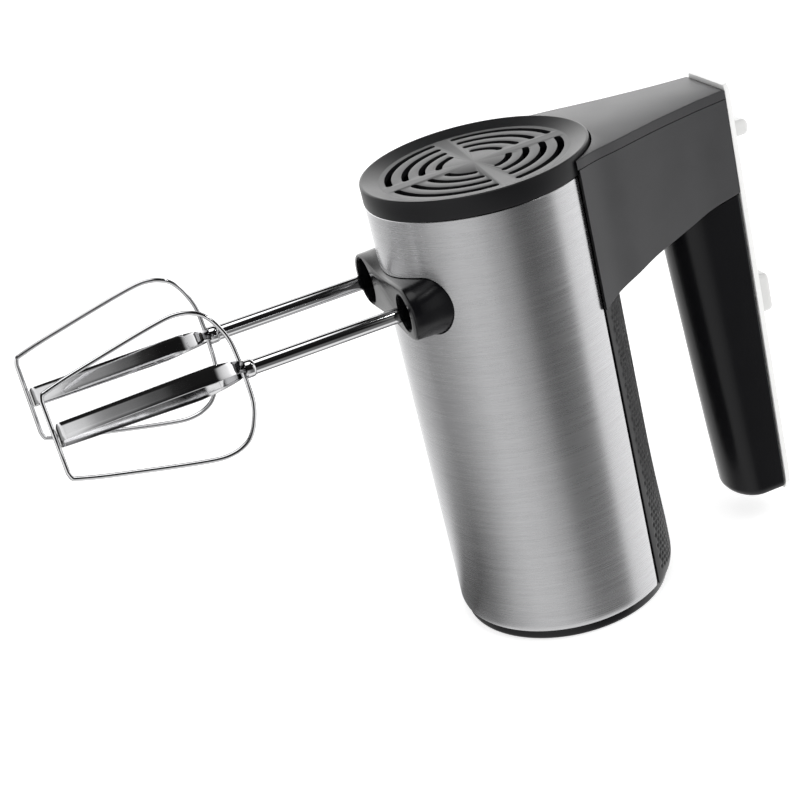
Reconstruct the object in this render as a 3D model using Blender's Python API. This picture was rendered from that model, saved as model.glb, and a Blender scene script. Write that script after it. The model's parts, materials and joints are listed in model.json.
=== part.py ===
"""A hand mixer with a steel barrel, a bridge, an upright handle and two loop beaters.

Every size is in millimetres; MM turns it into metres as a vertex is made.
+Z runs up the barrel, whose axis is x = y = 0 and whose resting face is z = 0.
+X is the way the beaters point. The object is mirrored about y = 0, apart from its beaters and gears.
"""

import math

import bmesh
import bpy
from mathutils import Matrix, Vector

MM = 0.001
GAP = 0.3
RUNNING = 0.06
THROUGH = 5.0
SMOOTH_BELOW_DEG = 35.0

# Barrel
BARREL_R = 43.5
BARREL_H = 188.2
BASE_INSET = 1.8
BASE_H = 4.2
BASE_EDGE = 1.2
BASE_GROOVE_R = 28.0
BASE_GROOVE_D = 0.8
SLEEVE_T = 0.8
SEAM_DEG = 54.5
SEAM_GROOVE = 1.0
HOUSING_WALL = 2.2
GRIP_SWELL = 1.1
GRIP_LIP = 9.0

# Vent cap
CAP_LIP = 0.2
CAP_RIM_H = 7.7
CAP_RING = 6.9
CAP_SINK = 1.9
CAP_PLATE = 2.4
SLOT_R0 = 13.3
SLOT_LAND = 3.85
SLOT_RINGS = 4
SLOT_W = 2.7
SPOKE_W = 6.6

# Bridge between barrel and handle: share of its length, of its narrowing and of its underside's rise
BRIDGE_SHAPE = (
    (0.0, 0.0, 0.0),
    (0.12, 0.19, 0.2),
    (0.26, 0.33, 0.37),
    (0.4, 0.49, 0.53),
    (0.54, 0.64, 0.64),
    (0.68, 0.77, 0.77),
    (0.82, 0.885, 0.91),
    (1.0, 1.0, 1.0),
)
BRIDGE_DROP = 1.8
BRIDGE_FRONT_DEPTH = 59.6
BRIDGE_REAR_DEPTH = 42.1
BRIDGE_REAR_HALF = 14.8
BRIDGE_WALL = 2.2
LID_H = 3.6
LID_CHAMFER = 1.3

# Handle: share of its height, then how far its front and rear faces and its side lie inside its widest lines
HANDLE_SHAPE = (
    (0.0, 13.6, 1.7, 2.1),
    (0.009, 16.9, 0.4, 0.9),
    (0.0346, 19.5, 0.0, 0.2),
    (0.0873, 21.1, 0.0, 0.0),
    (0.441, 24.3, 0.0, 0.0),
    (0.757, 26.8, 0.0, 0.0),
    (0.87, 27.6, 0.0, 0.0),
    (0.9376, 28.3, 0.0, 0.0),
)
HANDLE_LOW = 11.4
HANDLE_DEPTH = 26.8
FINGER_GAP = 28.0
HANDLE_FRONT_R = 9.0
HANDLE_REAR_R = 1.5
HANDLE_WALL = 2.2
COVER_T = 5.4
COVER_EDGE_T = 1.6
COVER_BOTTOM = 10.5
COVER_LIP = 1.4
HANDLE_SCREW_X = 10.3
HANDLE_WIRE_X = 14.3
SPRING_RIB_X = 17.8
SPRING_RIB_T = 2.0

# Drive
SHAFT_R = 3.0
BEARING_R = 8.0
MODULE = 1.0
WHEEL_TEETH = 33
WORM_PITCH_R = 5.27
WORM_HALF = 13.0
TOOTH_PLAY = 0.4
WHEEL_FACE = 5.0
BEATER_DEPTH = 41.1
GEARBOX_DROP = 22.6
GEARBOX_FLOOR = 2.9
GEARBOX_HALF_X = 20.0
GEARBOX_MARGIN = 11.23
FORK_RISE = 1.7
FORK_T = 1.6

# Motor
BOSS_H = 15.7
STATOR_R = 31.0
CORE_RISE = 35.5
CORE_H = 42.0
LEDGE_LAND = 2.0
PLATE_RISE = 2.2
PLATE_T = 2.3
PLATE_BOSS_T = 4.1
FAN_RISE = 0.8
FAN_H = 6.0
FAN_MARGIN = 7.2

# Beaters
SPINDLE_R = 5.0
STEM_R = 2.8
NOSE_OUT = 2.5
NOSE_DEPTH = 20.0
NOSE_MARGIN = 12.23
STEM_REACH = 63.0
CAGE_L = 70.2
CAGE_R = 27.0
WIRE_R = 0.85
STRIP_W = 6.3
STRIP_T = 0.9
STRIP_INSET = 1.7
STRIP_SHARE = 0.9
STRIP_ROOT_SHARE = 0.65
STRIP_FLARE = 0.22
STEM_IN = 25.0
COLLAR_IN = 0.2
NEAR_WIRE_DEG = 121.0
NEAR_STRIP_DEG = 27.5
FAR_WIRE_DEG = 105.0
FAR_STRIP_DEG = 23.0
FAR_SHIFT = 2.5
NEAR_SOCKET_R = 6.7
FAR_SOCKET_R = 9.0

# Speed slider and eject button
SLIDER_DROP = 91.2
SLIDER_HALF_H = 8.2
SLIDER_HALF_W = 5.0
SLIDER_OUT = 5.8
SLIDER_TRAVEL = 14.0
BUTTON_DROP = 0.2
BUTTON_HALF_H = 3.2
BUTTON_CORNER_R = 2.0
BUTTON_HALF_W = 6.0
BUTTON_OUT = 7.0
EJECT_TRAVEL = 6.0

# Sizes that follow from the ones above
BASE_R = BARREL_R - BASE_INSET
CAP_R = BARREL_R + CAP_LIP
SLOT_PITCH = (CAP_R - CAP_RING - SLOT_LAND - SLOT_R0) / (SLOT_RINGS - 1)
HOUSING_R = BARREL_R - SLEEVE_T - GAP
HOUSING_IN = HOUSING_R - HOUSING_WALL
BARREL_LOW = BASE_H + GAP
CAP_LOW = BARREL_H - CAP_RIM_H
BARREL_TOP = CAP_LOW - GAP
WHEEL_R = MODULE * WHEEL_TEETH / 2
WHEEL_TIP_R = WHEEL_R + 0.9 * MODULE
BEATER_Y = WHEEL_R + WORM_PITCH_R
BEATER_Z = BARREL_H - BEATER_DEPTH
WORM_PITCH = math.pi * MODULE

REAR_X = -(BARREL_R + FINGER_GAP + HANDLE_DEPTH)
BRIDGE_TOP = BARREL_H - BRIDGE_DROP
BRIDGE_FRONT_X = -BARREL_R * math.cos(math.radians(SEAM_DEG)) - SEAM_GROOVE
BRIDGE_FRONT_HALF = BARREL_R * math.sin(math.radians(SEAM_DEG)) + 1.2
BRIDGE_PLAN = [
    (BRIDGE_FRONT_X + (REAR_X - BRIDGE_FRONT_X) * along, BRIDGE_FRONT_HALF + (BRIDGE_REAR_HALF - BRIDGE_FRONT_HALF) * u)
    for along, u, _ in BRIDGE_SHAPE
]
BRIDGE_UNDER = [
    (x, BRIDGE_TOP - BRIDGE_FRONT_DEPTH + (BRIDGE_FRONT_DEPTH - BRIDGE_REAR_DEPTH) * rise)
    for (x, _), (_, _, rise) in zip(BRIDGE_PLAN, BRIDGE_SHAPE)
]
HANDLE_TOP = BRIDGE_TOP - BRIDGE_REAR_DEPTH
HANDLE_HALF = BRIDGE_REAR_HALF - GAP
HANDLE_SECTIONS = [
    (HANDLE_LOW + (HANDLE_TOP - HANDLE_LOW) * share, REAR_X + front, REAR_X + rear, HANDLE_HALF - side)
    for share, front, rear, side in HANDLE_SHAPE
]
COVER_X = REAR_X - GAP
COVER_TOP = BRIDGE_TOP + COVER_LIP

MOTOR_Z = BARREL_LOW + BOSS_H + GAP
CORE_LOW = MOTOR_Z + CORE_RISE
CORE_HIGH = CORE_LOW + CORE_H
GEARBOX_Z = BEATER_Z - GEARBOX_DROP
GEARBOX_HALF_Y = BEATER_Y + GEARBOX_MARGIN
FORK_Z = BEATER_Z + WHEEL_TIP_R + FORK_RISE
PLATE_Z = FORK_Z + FORK_T + PLATE_RISE + GAP
FAN_Z = PLATE_Z + PLATE_BOSS_T + FAN_RISE

NOSE_X = BARREL_R + NOSE_OUT
NOSE_LOW = NOSE_X - NOSE_DEPTH
NOSE_HALF_Y = BEATER_Y + NOSE_MARGIN
CAGE_X = NOSE_X + STEM_REACH
STEM_END = NOSE_LOW - STEM_IN
COLLAR_X = NOSE_LOW + COLLAR_IN
SLIDER_Z = BRIDGE_TOP - SLIDER_DROP
BUTTON_Z = FORK_Z - BUTTON_DROP

MATERIALS = {
    "black_plastic": ((0.022, 0.022, 0.024), 0.0, 0.38),
    "soft_black": ((0.03, 0.03, 0.032), 0.0, 0.7),
    "grey_cap": ((0.12, 0.12, 0.125), 0.0, 0.42),
    "white_plastic": ((0.82, 0.82, 0.81), 0.0, 0.3),
    "brushed_steel": ((0.66, 0.66, 0.67), 1.0, 0.3),
    "chrome": ((0.86, 0.86, 0.87), 1.0, 0.06),
    "machine_steel": ((0.42, 0.42, 0.43), 1.0, 0.35),
    "spring_steel": ((0.5, 0.5, 0.52), 1.0, 0.25),
    "copper": ((0.72, 0.33, 0.16), 1.0, 0.35),
    "laminations": ((0.2, 0.2, 0.21), 1.0, 0.5),
    "bronze": ((0.55, 0.38, 0.18), 1.0, 0.4),
    "nylon": ((0.78, 0.75, 0.66), 0.0, 0.45),
    "carbon": ((0.02, 0.02, 0.02), 0.0, 0.8),
}


def clear_scene():
    for obj in list(bpy.data.objects):
        bpy.data.objects.remove(obj, do_unlink=True)


def material(name, slot):
    colour, metallic, roughness = MATERIALS[slot]
    made = bpy.data.materials.new(name + "_" + slot)
    made.use_nodes = True
    shader = made.node_tree.nodes["Principled BSDF"]
    shader.inputs["Base Color"].default_value = (*colour, 1.0)
    shader.inputs["Metallic"].default_value = metallic
    shader.inputs["Roughness"].default_value = roughness
    made.diffuse_color = (*colour, 1.0)
    return made


def finish_mesh(name, bm, slot=None, origin=(0.0, 0.0, 0.0)):
    """Makes an object from a mesh whose vertices are in millimetres, with its origin at a given point."""
    bmesh.ops.recalc_face_normals(bm, faces=bm.faces)
    at = Vector(origin)
    for vert in bm.verts:
        vert.co = (vert.co - at) * MM
    mesh = bpy.data.meshes.new(name)
    bm.to_mesh(mesh)
    bm.free()
    obj = bpy.data.objects.new(name, mesh)
    obj.location = at * MM
    bpy.context.scene.collection.objects.link(obj)
    if slot is None:
        obj.hide_render = True
        obj.display_type = "WIRE"
    else:
        mesh.materials.append(material(name, slot))
        mesh.shade_smooth()
        mesh.set_sharp_from_angle(angle=math.radians(SMOOTH_BELOW_DEG))
    return obj


def boolean(obj, other, operation):
    modifier = obj.modifiers.new(operation.lower(), "BOOLEAN")
    modifier.operation = operation
    modifier.solver = "EXACT"
    modifier.object = other
    return obj


def cut(obj, *cutters):
    for cutter in cutters:
        boolean(obj, cutter, "DIFFERENCE")
    return obj


def join(obj, *others):
    for other in others:
        boolean(obj, other, "UNION")
    return obj


def placed(u, v, w, axis):
    """A point from two coordinates across an axis and one along it."""
    if axis == "X":
        return (w, u, v)
    if axis == "Y":
        return (u, w, v)
    return (u, v, w)


def skin_rings(bm, rings, closed=False):
    """Faces between rings of vertices, capped at both ends unless the rings close on themselves."""
    count = len(rings)
    for i in range(count if closed else count - 1):
        a = rings[i]
        b = rings[(i + 1) % count]
        n = max(len(a), len(b))
        for j in range(n):
            k = (j + 1) % n
            corners = [a[j % len(a)], a[k % len(a)], b[k % len(b)], b[j % len(b)]]
            unique = list(dict.fromkeys(corners))
            if len(unique) > 2:
                bm.faces.new(unique)
    if not closed:
        for ring in (rings[0], rings[-1]):
            if len(ring) > 2:
                bm.faces.new(ring)


def loft(name, rings, slot=None, origin=(0.0, 0.0, 0.0), closed=False):
    """A solid through rings of points, each ring with the same number of points."""
    bm = bmesh.new()
    made = [[bm.verts.new(point) for point in ring] for ring in rings]
    skin_rings(bm, made, closed)
    return finish_mesh(name, bm, slot, origin)


def extrude(name, outline, low, high, axis="Z", slot=None, origin=(0.0, 0.0, 0.0)):
    rings = [[placed(u, v, w, axis) for u, v in outline] for w in (low, high)]
    return loft(name, rings, slot, origin)


def extrude_many(name, outlines, low, high, axis="Z"):
    """One helper made of several separate prisms."""
    bm = bmesh.new()
    for outline in outlines:
        rings = [[bm.verts.new(placed(u, v, w, axis)) for u, v in outline] for w in (low, high)]
        skin_rings(bm, rings)
    return finish_mesh(name, bm)


def lathe(name, profile, axis="Z", centre=(0.0, 0.0), slot=None, segments=32, origin=(0.0, 0.0, 0.0)):
    """A profile of (radius, height) turned about an axis. A profile that doesn't end on the axis closes on itself."""
    bm = bmesh.new()
    rings = []
    for radius, height in profile:
        if radius < 1e-6:
            rings.append([bm.verts.new(placed(*centre, height, axis))])
            continue
        ring = []
        for i in range(segments):
            angle = 2 * math.pi * i / segments
            u = centre[0] + radius * math.cos(angle)
            v = centre[1] + radius * math.sin(angle)
            ring.append(bm.verts.new(placed(u, v, height, axis)))
        rings.append(ring)
    on_axis = len(rings[0]) == 1
    skin_rings(bm, rings, closed=not on_axis)
    return finish_mesh(name, bm, slot, origin)


def rod(name, radius, low, high, axis="Z", centre=(0.0, 0.0), slot=None, segments=24, origin=(0.0, 0.0, 0.0)):
    profile = [(0.0, low), (radius, low), (radius, high), (0.0, high)]
    return lathe(name, profile, axis, centre, slot, segments, origin)


def tube(name, inner, outer, low, high, axis="Z", centre=(0.0, 0.0), slot=None, segments=32, origin=(0.0, 0.0, 0.0)):
    profile = [(inner, low), (outer, low), (outer, high), (inner, high)]
    return lathe(name, profile, axis, centre, slot, segments, origin)


def box(name, low, high, slot=None, origin=(0.0, 0.0, 0.0)):
    outline = [(low[0], low[1]), (high[0], low[1]), (high[0], high[1]), (low[0], high[1])]
    return extrude(name, outline, low[2], high[2], "Z", slot, origin)


def circle(radius, centre=(0.0, 0.0), segments=24):
    points = []
    for i in range(segments):
        angle = 2 * math.pi * i / segments
        points.append((centre[0] + radius * math.cos(angle), centre[1] + radius * math.sin(angle)))
    return points


def arc(radius, start_deg, end_deg, steps, centre=(0.0, 0.0)):
    points = []
    for i in range(steps + 1):
        angle = math.radians(start_deg + (end_deg - start_deg) * i / steps)
        points.append((centre[0] + radius * math.cos(angle), centre[1] + radius * math.sin(angle)))
    return points


def rounded(corners, radii, steps=4):
    """A polygon given anticlockwise, with each corner rounded by its own radius."""
    points = []
    count = len(corners)
    for i, corner in enumerate(corners):
        here = Vector(corner)
        before = (Vector(corners[i - 1]) - here).normalized()
        after = (Vector(corners[(i + 1) % count]) - here).normalized()
        half = before.angle(after) / 2
        run = radii[i] / math.tan(half)
        middle = here + (before + after).normalized() * (radii[i] / math.sin(half))
        first = here + before * run - middle
        last = here + after * run - middle
        sweep = first.angle_signed(last)
        for k in range(steps + 1):
            turned = Matrix.Rotation(-sweep * k / steps, 2) @ first
            points.append(tuple(middle + turned))
    return points


def between(table, x):
    """The value at x of a table of (x, value) pairs, straight between them and level past its ends."""
    rows = sorted(table)
    if x <= rows[0][0]:
        return rows[0][1]
    for (x0, v0), (x1, v1) in zip(rows, rows[1:]):
        if x <= x1:
            return v0 + (v1 - v0) * (x - x0) / (x1 - x0)
    return rows[-1][1]


def helix_sweep(name, radius, pitch, low, turns, section, slot=None, per_turn=16, start_deg=0.0,
                axis="Z", centre=(0.0, 0.0), origin=(0.0, 0.0, 0.0)):
    """A section of (radial, along) offsets swept along a right-hand helix."""
    rings = []
    steps = int(round(turns * per_turn))
    for i in range(steps + 1):
        turned = 2 * math.pi * i / per_turn
        angle = math.radians(start_deg) + turned
        height = low + pitch * turned / (2 * math.pi)
        ring = []
        for out, along in section:
            u = centre[0] + (radius + out) * math.cos(angle)
            v = centre[1] + (radius + out) * math.sin(angle)
            ring.append(placed(u, v, height + along, axis))
        rings.append(ring)
    return loft(name, rings, slot, origin)


# ---------------------------------------------------------------- barrel


def make_base():
    top = BASE_H
    profile = [
        (0.0, 0.0),
        (BASE_GROOVE_R - 1.0, 0.0),
        (BASE_GROOVE_R, BASE_GROOVE_D),
        (BASE_GROOVE_R + 1.0, 0.0),
        (BASE_R - BASE_EDGE, 0.0),
        (BASE_R - BASE_EDGE * 0.3, BASE_EDGE * 0.3),
        (BASE_R, BASE_EDGE),
        (BASE_R, top),
        (0.0, top),
    ]
    base = lathe("base_plate", profile, slot="black_plastic", segments=48)
    places = base_screw_places()
    cut(base, extrude_many("base_holes", [circle(1.8, at, 12) for at in places], -THROUGH, top + THROUGH))
    cut(base, extrude_many("base_sinks", [circle(3.2, at, 12) for at in places], -THROUGH, 2.0))
    for i, at in enumerate(places):
        profile = [(0.0, 0.6), (2.9, 0.6), (2.9, 1.7), (1.4, 1.71), (1.4, MOTOR_Z - 5.5), (0.0, MOTOR_Z - 4.5)]
        lathe("base_screw_%d" % (i + 1), profile, centre=at, slot="machine_steel", segments=12)


def base_screw_places():
    return arc(HOUSING_IN - 3.3, 45.0, 315.0, 3)


def make_housing():
    """The inner barrel, with a ledge each for the stator, the gearbox and the bearing plate."""
    gearbox_corner = math.hypot(GEARBOX_HALF_X, GEARBOX_HALF_Y)
    ledges = (
        (CORE_LOW - GAP, STATOR_R - LEDGE_LAND, 3.6),
        (GEARBOX_Z - GAP, gearbox_corner - 2.6, 3.2),
        (PLATE_Z - GAP, HOUSING_IN - 2.6, 1.8),
    )
    profile = [(HOUSING_IN, BARREL_LOW)]
    for top, inner, depth in ledges:
        profile += [(HOUSING_IN, top - depth), (inner, top - depth), (inner, top), (HOUSING_IN, top)]
    profile += [(HOUSING_IN, BARREL_TOP), (HOUSING_R, BARREL_TOP), (HOUSING_R, BARREL_LOW)]
    housing = lathe("motor_housing", profile, slot="black_plastic", segments=40)
    places = base_screw_places()
    bosses = extrude_many("boss_posts", [circle(3.9, at, 12) for at in places], BARREL_LOW, MOTOR_Z - GAP)
    join(housing, bosses)
    cut(housing, extrude_many("boss_holes", [circle(1.75, at, 12) for at in places], -THROUGH, MOTOR_Z - 3.0))
    cut(housing, nose_loft("housing_window", GAP))
    outside = -HOUSING_R - THROUGH
    inside = -HOUSING_IN + 2 * THROUGH
    ejector_way = box("ejector_way", (outside, -16.0, FORK_Z - 1.3), (inside, 16.0, FORK_Z + FORK_T + 1.2))
    wire_way = box("wire_way", (outside, -12.0, BEATER_Z - 7.1), (inside, 12.0, BEATER_Z + 12.9))
    cut(housing, ejector_way, wire_way)


def make_sleeve():
    """The steel wraps the barrel from seam to seam, open at the rear, with a window for the nose."""
    half = 180.0 - SEAM_DEG
    outer = arc(BARREL_R, -half, half, 44)
    inner = arc(BARREL_R - SLEEVE_T, half, -half, 44)
    sleeve = extrude("steel_sleeve", outer + inner, BARREL_LOW, BARREL_TOP, slot="brushed_steel")
    cut(sleeve, nose_loft("sleeve_window", GAP))


def make_rear_grip():
    """A moulded skin over the rear of the barrel, under the bridge, a little fatter towards its foot."""
    groove = math.degrees(SEAM_GROOVE / BARREL_R)
    half = SEAM_DEG - groove
    columns = 20
    rows = (0.0, 0.05, 0.12, 0.35, 0.7, 1.0)
    inner = HOUSING_R + GAP
    rings = []
    for i in range(columns + 1):
        angle = math.radians(180.0 - half + 2 * half * i / columns)
        x = BARREL_R * math.cos(angle)
        top = between(BRIDGE_UNDER, x) - GAP
        ring = []
        for row in rows:
            z = BARREL_LOW + (top - BARREL_LOW) * row
            swell = GRIP_SWELL * min(1.0, (z - BARREL_LOW) / GRIP_LIP + 0.2) * (1.0 - row)
            edge = min(i, columns - i) / columns * 8
            swell *= min(1.0, edge)
            ring.append(((BARREL_R + swell) * math.cos(angle), (BARREL_R + swell) * math.sin(angle), z))
        for row in reversed(rows):
            z = BARREL_LOW + (top - BARREL_LOW) * row
            ring.append((inner * math.cos(angle), inner * math.sin(angle), z))
        rings.append(ring)
    loft("rear_grip", rings, "soft_black")


def slot_outline(radius, quadrant):
    """A curved slot with round ends between two spokes."""
    half_w = SLOT_W / 2
    gap = math.degrees(math.asin((SPOKE_W / 2 + half_w) / radius))
    start = 90.0 * quadrant + gap
    end = 90.0 * (quadrant + 1) - gap
    steps = max(3, int(radius / 5))
    outline = arc(radius + half_w, start, end, steps)
    for middle_deg, first in ((end, end), (start, start + 180.0)):
        turn = math.radians(middle_deg)
        centre = (radius * math.cos(turn), radius * math.sin(turn))
        cap = arc(half_w, first, first + 180.0, 3, centre)
        outline += cap[1:-1]
        if middle_deg == end:
            outline += arc(radius - half_w, end, start, steps)
    return outline


def make_vent_cap():
    sunk = BARREL_H - CAP_SINK
    under = sunk - CAP_PLATE
    flat_r = CAP_R - CAP_RING
    skirt = HOUSING_IN - GAP
    profile = [
        (0.0, sunk),
        (flat_r, sunk),
        (CAP_R - 1.4, BARREL_H - 0.25),
        (CAP_R - 0.7, BARREL_H),
        (CAP_R, BARREL_H - 0.7),
        (CAP_R, CAP_LOW),
        (skirt, CAP_LOW),
        (skirt, CAP_LOW - 2.5),
        (skirt - 1.4, CAP_LOW - 2.5),
        (skirt - 1.4, under),
        (0.0, under),
    ]
    cap = lathe("vent_cap", profile, slot="grey_cap", segments=48)
    outlines = []
    for ring in range(SLOT_RINGS):
        radius = SLOT_R0 + SLOT_PITCH * ring
        outlines += [slot_outline(radius, quadrant) for quadrant in range(4)]
    cut(cap, extrude_many("vent_slots", outlines, under - THROUGH, sunk + THROUGH))


# ---------------------------------------------------------------- bridge, handle and cover


def bridge_outline(inset=0.0, front_x=None, rear_x=None):
    """The bridge in plan, anticlockwise from its far front corner."""
    plan = [(x, w - inset) for x, w in BRIDGE_PLAN]
    if front_x is not None:
        plan[0] = (front_x, plan[0][1])
    if rear_x is not None:
        plan[-1] = (rear_x, plan[-1][1])
    near = plan
    far = [(x, -w) for x, w in reversed(plan)]
    return near + far


def bridge_section(x, half, low, high):
    return [(x, -half, low), (x, half, low), (x, half, high), (x, -half, high)]


def make_bridge():
    top = BRIDGE_TOP - LID_H - GAP
    rings = []
    for x, half in BRIDGE_PLAN:
        rings.append(bridge_section(x, half, between(BRIDGE_UNDER, x), top))
    shell = loft("bridge_shell", rings, "black_plastic")
    hollow = []
    stations = list(BRIDGE_PLAN)
    stations[0] = (stations[0][0] + THROUGH, stations[0][1])
    stations[-1] = (stations[-1][0] - THROUGH, stations[-1][1])
    for x, half in stations:
        low = between(BRIDGE_UNDER, x) + BRIDGE_WALL
        hollow.append(bridge_section(x, half - BRIDGE_WALL, low, top + THROUGH))
    barrel = rod("bridge_barrel_cut", HOUSING_R + GAP, 0.0, BARREL_H + THROUGH, segments=48)
    rim = rod("bridge_cap_cut", CAP_R + GAP, CAP_LOW - GAP, BARREL_H + THROUGH, segments=48)
    cut(shell, loft("bridge_hollow", hollow), barrel, rim)
    holes = (HANDLE_TOP - 4 * THROUGH, HANDLE_TOP + 2 * THROUGH)
    cut(shell, rod("bridge_wire_hole", 3.5, *holes, centre=(REAR_X + HANDLE_WIRE_X, 0.0), segments=16))
    places = handle_screw_places()
    cut(shell, extrude_many("bridge_screw_holes", [circle(1.8, at, 12) for at in places], *holes))
    rib = REAR_X + SPRING_RIB_X
    middle = rib + SPRING_RIB_T / 2
    foot = between(BRIDGE_UNDER, middle) + BRIDGE_WALL / 2
    half = between(BRIDGE_PLAN, middle) - BRIDGE_WALL / 2
    join(shell, box("spring_rib", (rib, -half, foot), (rib + SPRING_RIB_T, half, FORK_Z - 2.4)))


def make_lid():
    low = BRIDGE_TOP - LID_H
    outline = bridge_outline(0.0, front_x=BRIDGE_PLAN[0][0] - 0.7)
    small = bridge_outline(LID_CHAMFER, front_x=BRIDGE_PLAN[0][0] - 0.7, rear_x=REAR_X + 0.6)
    rings = [
        [(x, y, low) for x, y in outline],
        [(x, y, BRIDGE_TOP - LID_CHAMFER * 0.8) for x, y in outline],
        [(x, y, BRIDGE_TOP) for x, y in small],
    ]
    lid = loft("bridge_lid", rings, "grey_cap")
    cut(lid, rod("lid_barrel_cut", CAP_R + GAP, low - THROUGH, BARREL_H + THROUGH, segments=48))


def handle_ring(z, front, rear, half, shrink=0.0):
    corners = [
        (rear, -half + shrink),
        (front - shrink, -half + shrink),
        (front - shrink, half - shrink),
        (rear, half - shrink),
    ]
    front_r = min(HANDLE_FRONT_R - shrink, half - shrink - 0.5, front - rear - 3.0)
    outline = rounded(corners, (HANDLE_REAR_R, front_r, front_r, HANDLE_REAR_R))
    return [(x, y, z) for x, y in outline]


def handle_top_ring():
    """The handle's top follows the bridge's underside."""
    _, front, rear, half = HANDLE_SECTIONS[-1]
    flat = handle_ring(0.0, front, rear, half)
    return [(x, y, between(BRIDGE_UNDER, x) - GAP) for x, y, _ in flat]


def handle_screw_places():
    x = REAR_X + HANDLE_SCREW_X
    return ((x, 7.5), (x, -7.5))


def make_handle():
    rings = [handle_ring(*section) for section in HANDLE_SECTIONS]
    rings.append(handle_top_ring())
    handle = loft("handle_shell", rings, "black_plastic")
    hollow = []
    for z, front, rear, half in HANDLE_SECTIONS[2:-1]:
        hollow.append(handle_ring(z, front, rear - THROUGH, half, HANDLE_WALL))
    cut(handle, loft("handle_hollow", hollow))
    holes = (HANDLE_TOP - 7 * THROUGH, HANDLE_TOP + THROUGH)
    cut(handle, rod("handle_wire_hole", 3.2, *holes, centre=(REAR_X + HANDLE_WIRE_X, 0.0), segments=16))
    places = handle_screw_places()
    cut(handle, extrude_many("handle_screw_holes", [circle(1.7, at, 12) for at in places], *holes))
    for side, at in zip(("near", "far"), places):
        seat = between(BRIDGE_UNDER, at[0] - 2.9) + BRIDGE_WALL + GAP
        tip = HANDLE_TOP - 16.3
        profile = [(0.0, seat + 1.8), (2.9, seat + 1.5), (2.9, seat), (1.4, seat - 0.01), (1.4, tip + 1.0), (0.0, tip)]
        lathe("handle_screw_" + side, profile, centre=at, slot="machine_steel", segments=12)


def cover_ring(z, depth, half, rear=0.0):
    """The white cover in plan: flat against the handle and crowned outwards."""
    inner = COVER_X - rear
    points = [(inner, -half), (inner, half)]
    edge = min(COVER_EDGE_T, depth)
    steps = 8
    for i in range(steps + 1):
        y = half * (1 - 2 * i / steps)
        crown = (depth - edge) * (1 - (y / half) ** 2)
        points.append((COVER_X - edge - crown, y))
    return [(x, y, z) for x, y in points]


def make_cover():
    full = HANDLE_HALF
    rings = [
        cover_ring(COVER_BOTTOM, 1.8, full - 2.6),
        cover_ring(COVER_BOTTOM + 1.6, 3.6, full - 1.2),
        cover_ring(COVER_BOTTOM + 5.0, COVER_T, full - 0.1),
        cover_ring(COVER_TOP - 4.0, COVER_T, full),
        cover_ring(COVER_TOP - 0.8, COVER_T - 1.4, full),
        cover_ring(COVER_TOP, COVER_T - 2.4, full - 0.6),
    ]
    cover = loft("back_cover", rings, "white_plastic")
    pocket = []
    for z, depth in ((COVER_BOTTOM + 8.0, COVER_T - 2.0), (COVER_TOP - 8.0, COVER_T - 2.0)):
        ring = cover_ring(z, depth, full - 2.2)
        ring[0] = (COVER_X + THROUGH, ring[0][1], z)
        ring[1] = (COVER_X + THROUGH, ring[1][1], z)
        pocket.append(ring)
    cut(cover, loft("cover_pocket", pocket))
    low = SLIDER_Z - 3.0 - GAP
    high = SLIDER_Z + 3.0 + SLIDER_TRAVEL + GAP
    way = rounded(((-2.6, low), (2.6, low), (2.6, high), (-2.6, high)), (1.2,) * 4, 2)
    cut(cover, extrude("slider_way", way, COVER_X - 20.0, COVER_X + 20.0, "X"))
    cut(cover, extrude("button_way", button_outline(GAP), COVER_X - 20.0, COVER_X + 20.0, "X"))


def button_outline(grow=0.0):
    w = BUTTON_HALF_W + grow
    h = BUTTON_HALF_H + grow
    corners = ((-w, BUTTON_Z - h), (w, BUTTON_Z - h), (w, BUTTON_Z + h), (-w, BUTTON_Z + h))
    return rounded(corners, (BUTTON_CORNER_R + grow,) * 4, 3)


# ---------------------------------------------------------------- nose and gearbox


def nose_ring(x, half_y, half_z, grow, steps=8):
    """A stadium across the beater axes, slightly waisted in the middle."""
    r = half_z
    y = half_y - r
    ring = []
    for side, start in ((1, -90.0), (-1, 90.0)):
        for i in range(steps + 1):
            angle = math.radians(start + 180.0 * i / steps)
            ring.append((x, side * y + (r + grow) * math.cos(angle), BEATER_Z + (r + grow) * math.sin(angle)))
        ring.append((x, 0.0, BEATER_Z + side * (r - 0.9 + grow)))
    return ring


def nose_loft(name, grow=0.0, slot=None):
    low = NOSE_LOW if slot else NOSE_LOW - 2.0
    high = NOSE_X if slot else NOSE_X + THROUGH
    edge = 0.8 if slot else 0.0
    rings = [
        nose_ring(low, NOSE_HALF_Y - 3.0, 12.0, grow),
        nose_ring(NOSE_LOW + 5.0, NOSE_HALF_Y - 2.6, 12.0, grow),
        nose_ring(NOSE_LOW + 12.0, NOSE_HALF_Y - 1.0, 10.8, grow),
        nose_ring(high - edge, NOSE_HALF_Y, 10.2, grow),
    ]
    if slot:
        rings.append(nose_ring(high, NOSE_HALF_Y - edge, 10.2 - edge, grow))
    return loft(name, rings, slot)


def make_nose():
    nose = nose_loft("nose_socket", 0.0, "black_plastic")
    ends = (NOSE_LOW - THROUGH, NOSE_X + THROUGH)
    cut(nose, rod("near_socket_cut", NEAR_SOCKET_R, *ends, "X", (BEATER_Y, BEATER_Z), segments=32))
    cut(nose, rod("far_socket_cut", FAR_SOCKET_R, *ends, "X", (-BEATER_Y, BEATER_Z), segments=32))


def sides():
    """Name and sign of each side; near is +Y."""
    return (("near", 1.0), ("far", -1.0))


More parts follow.
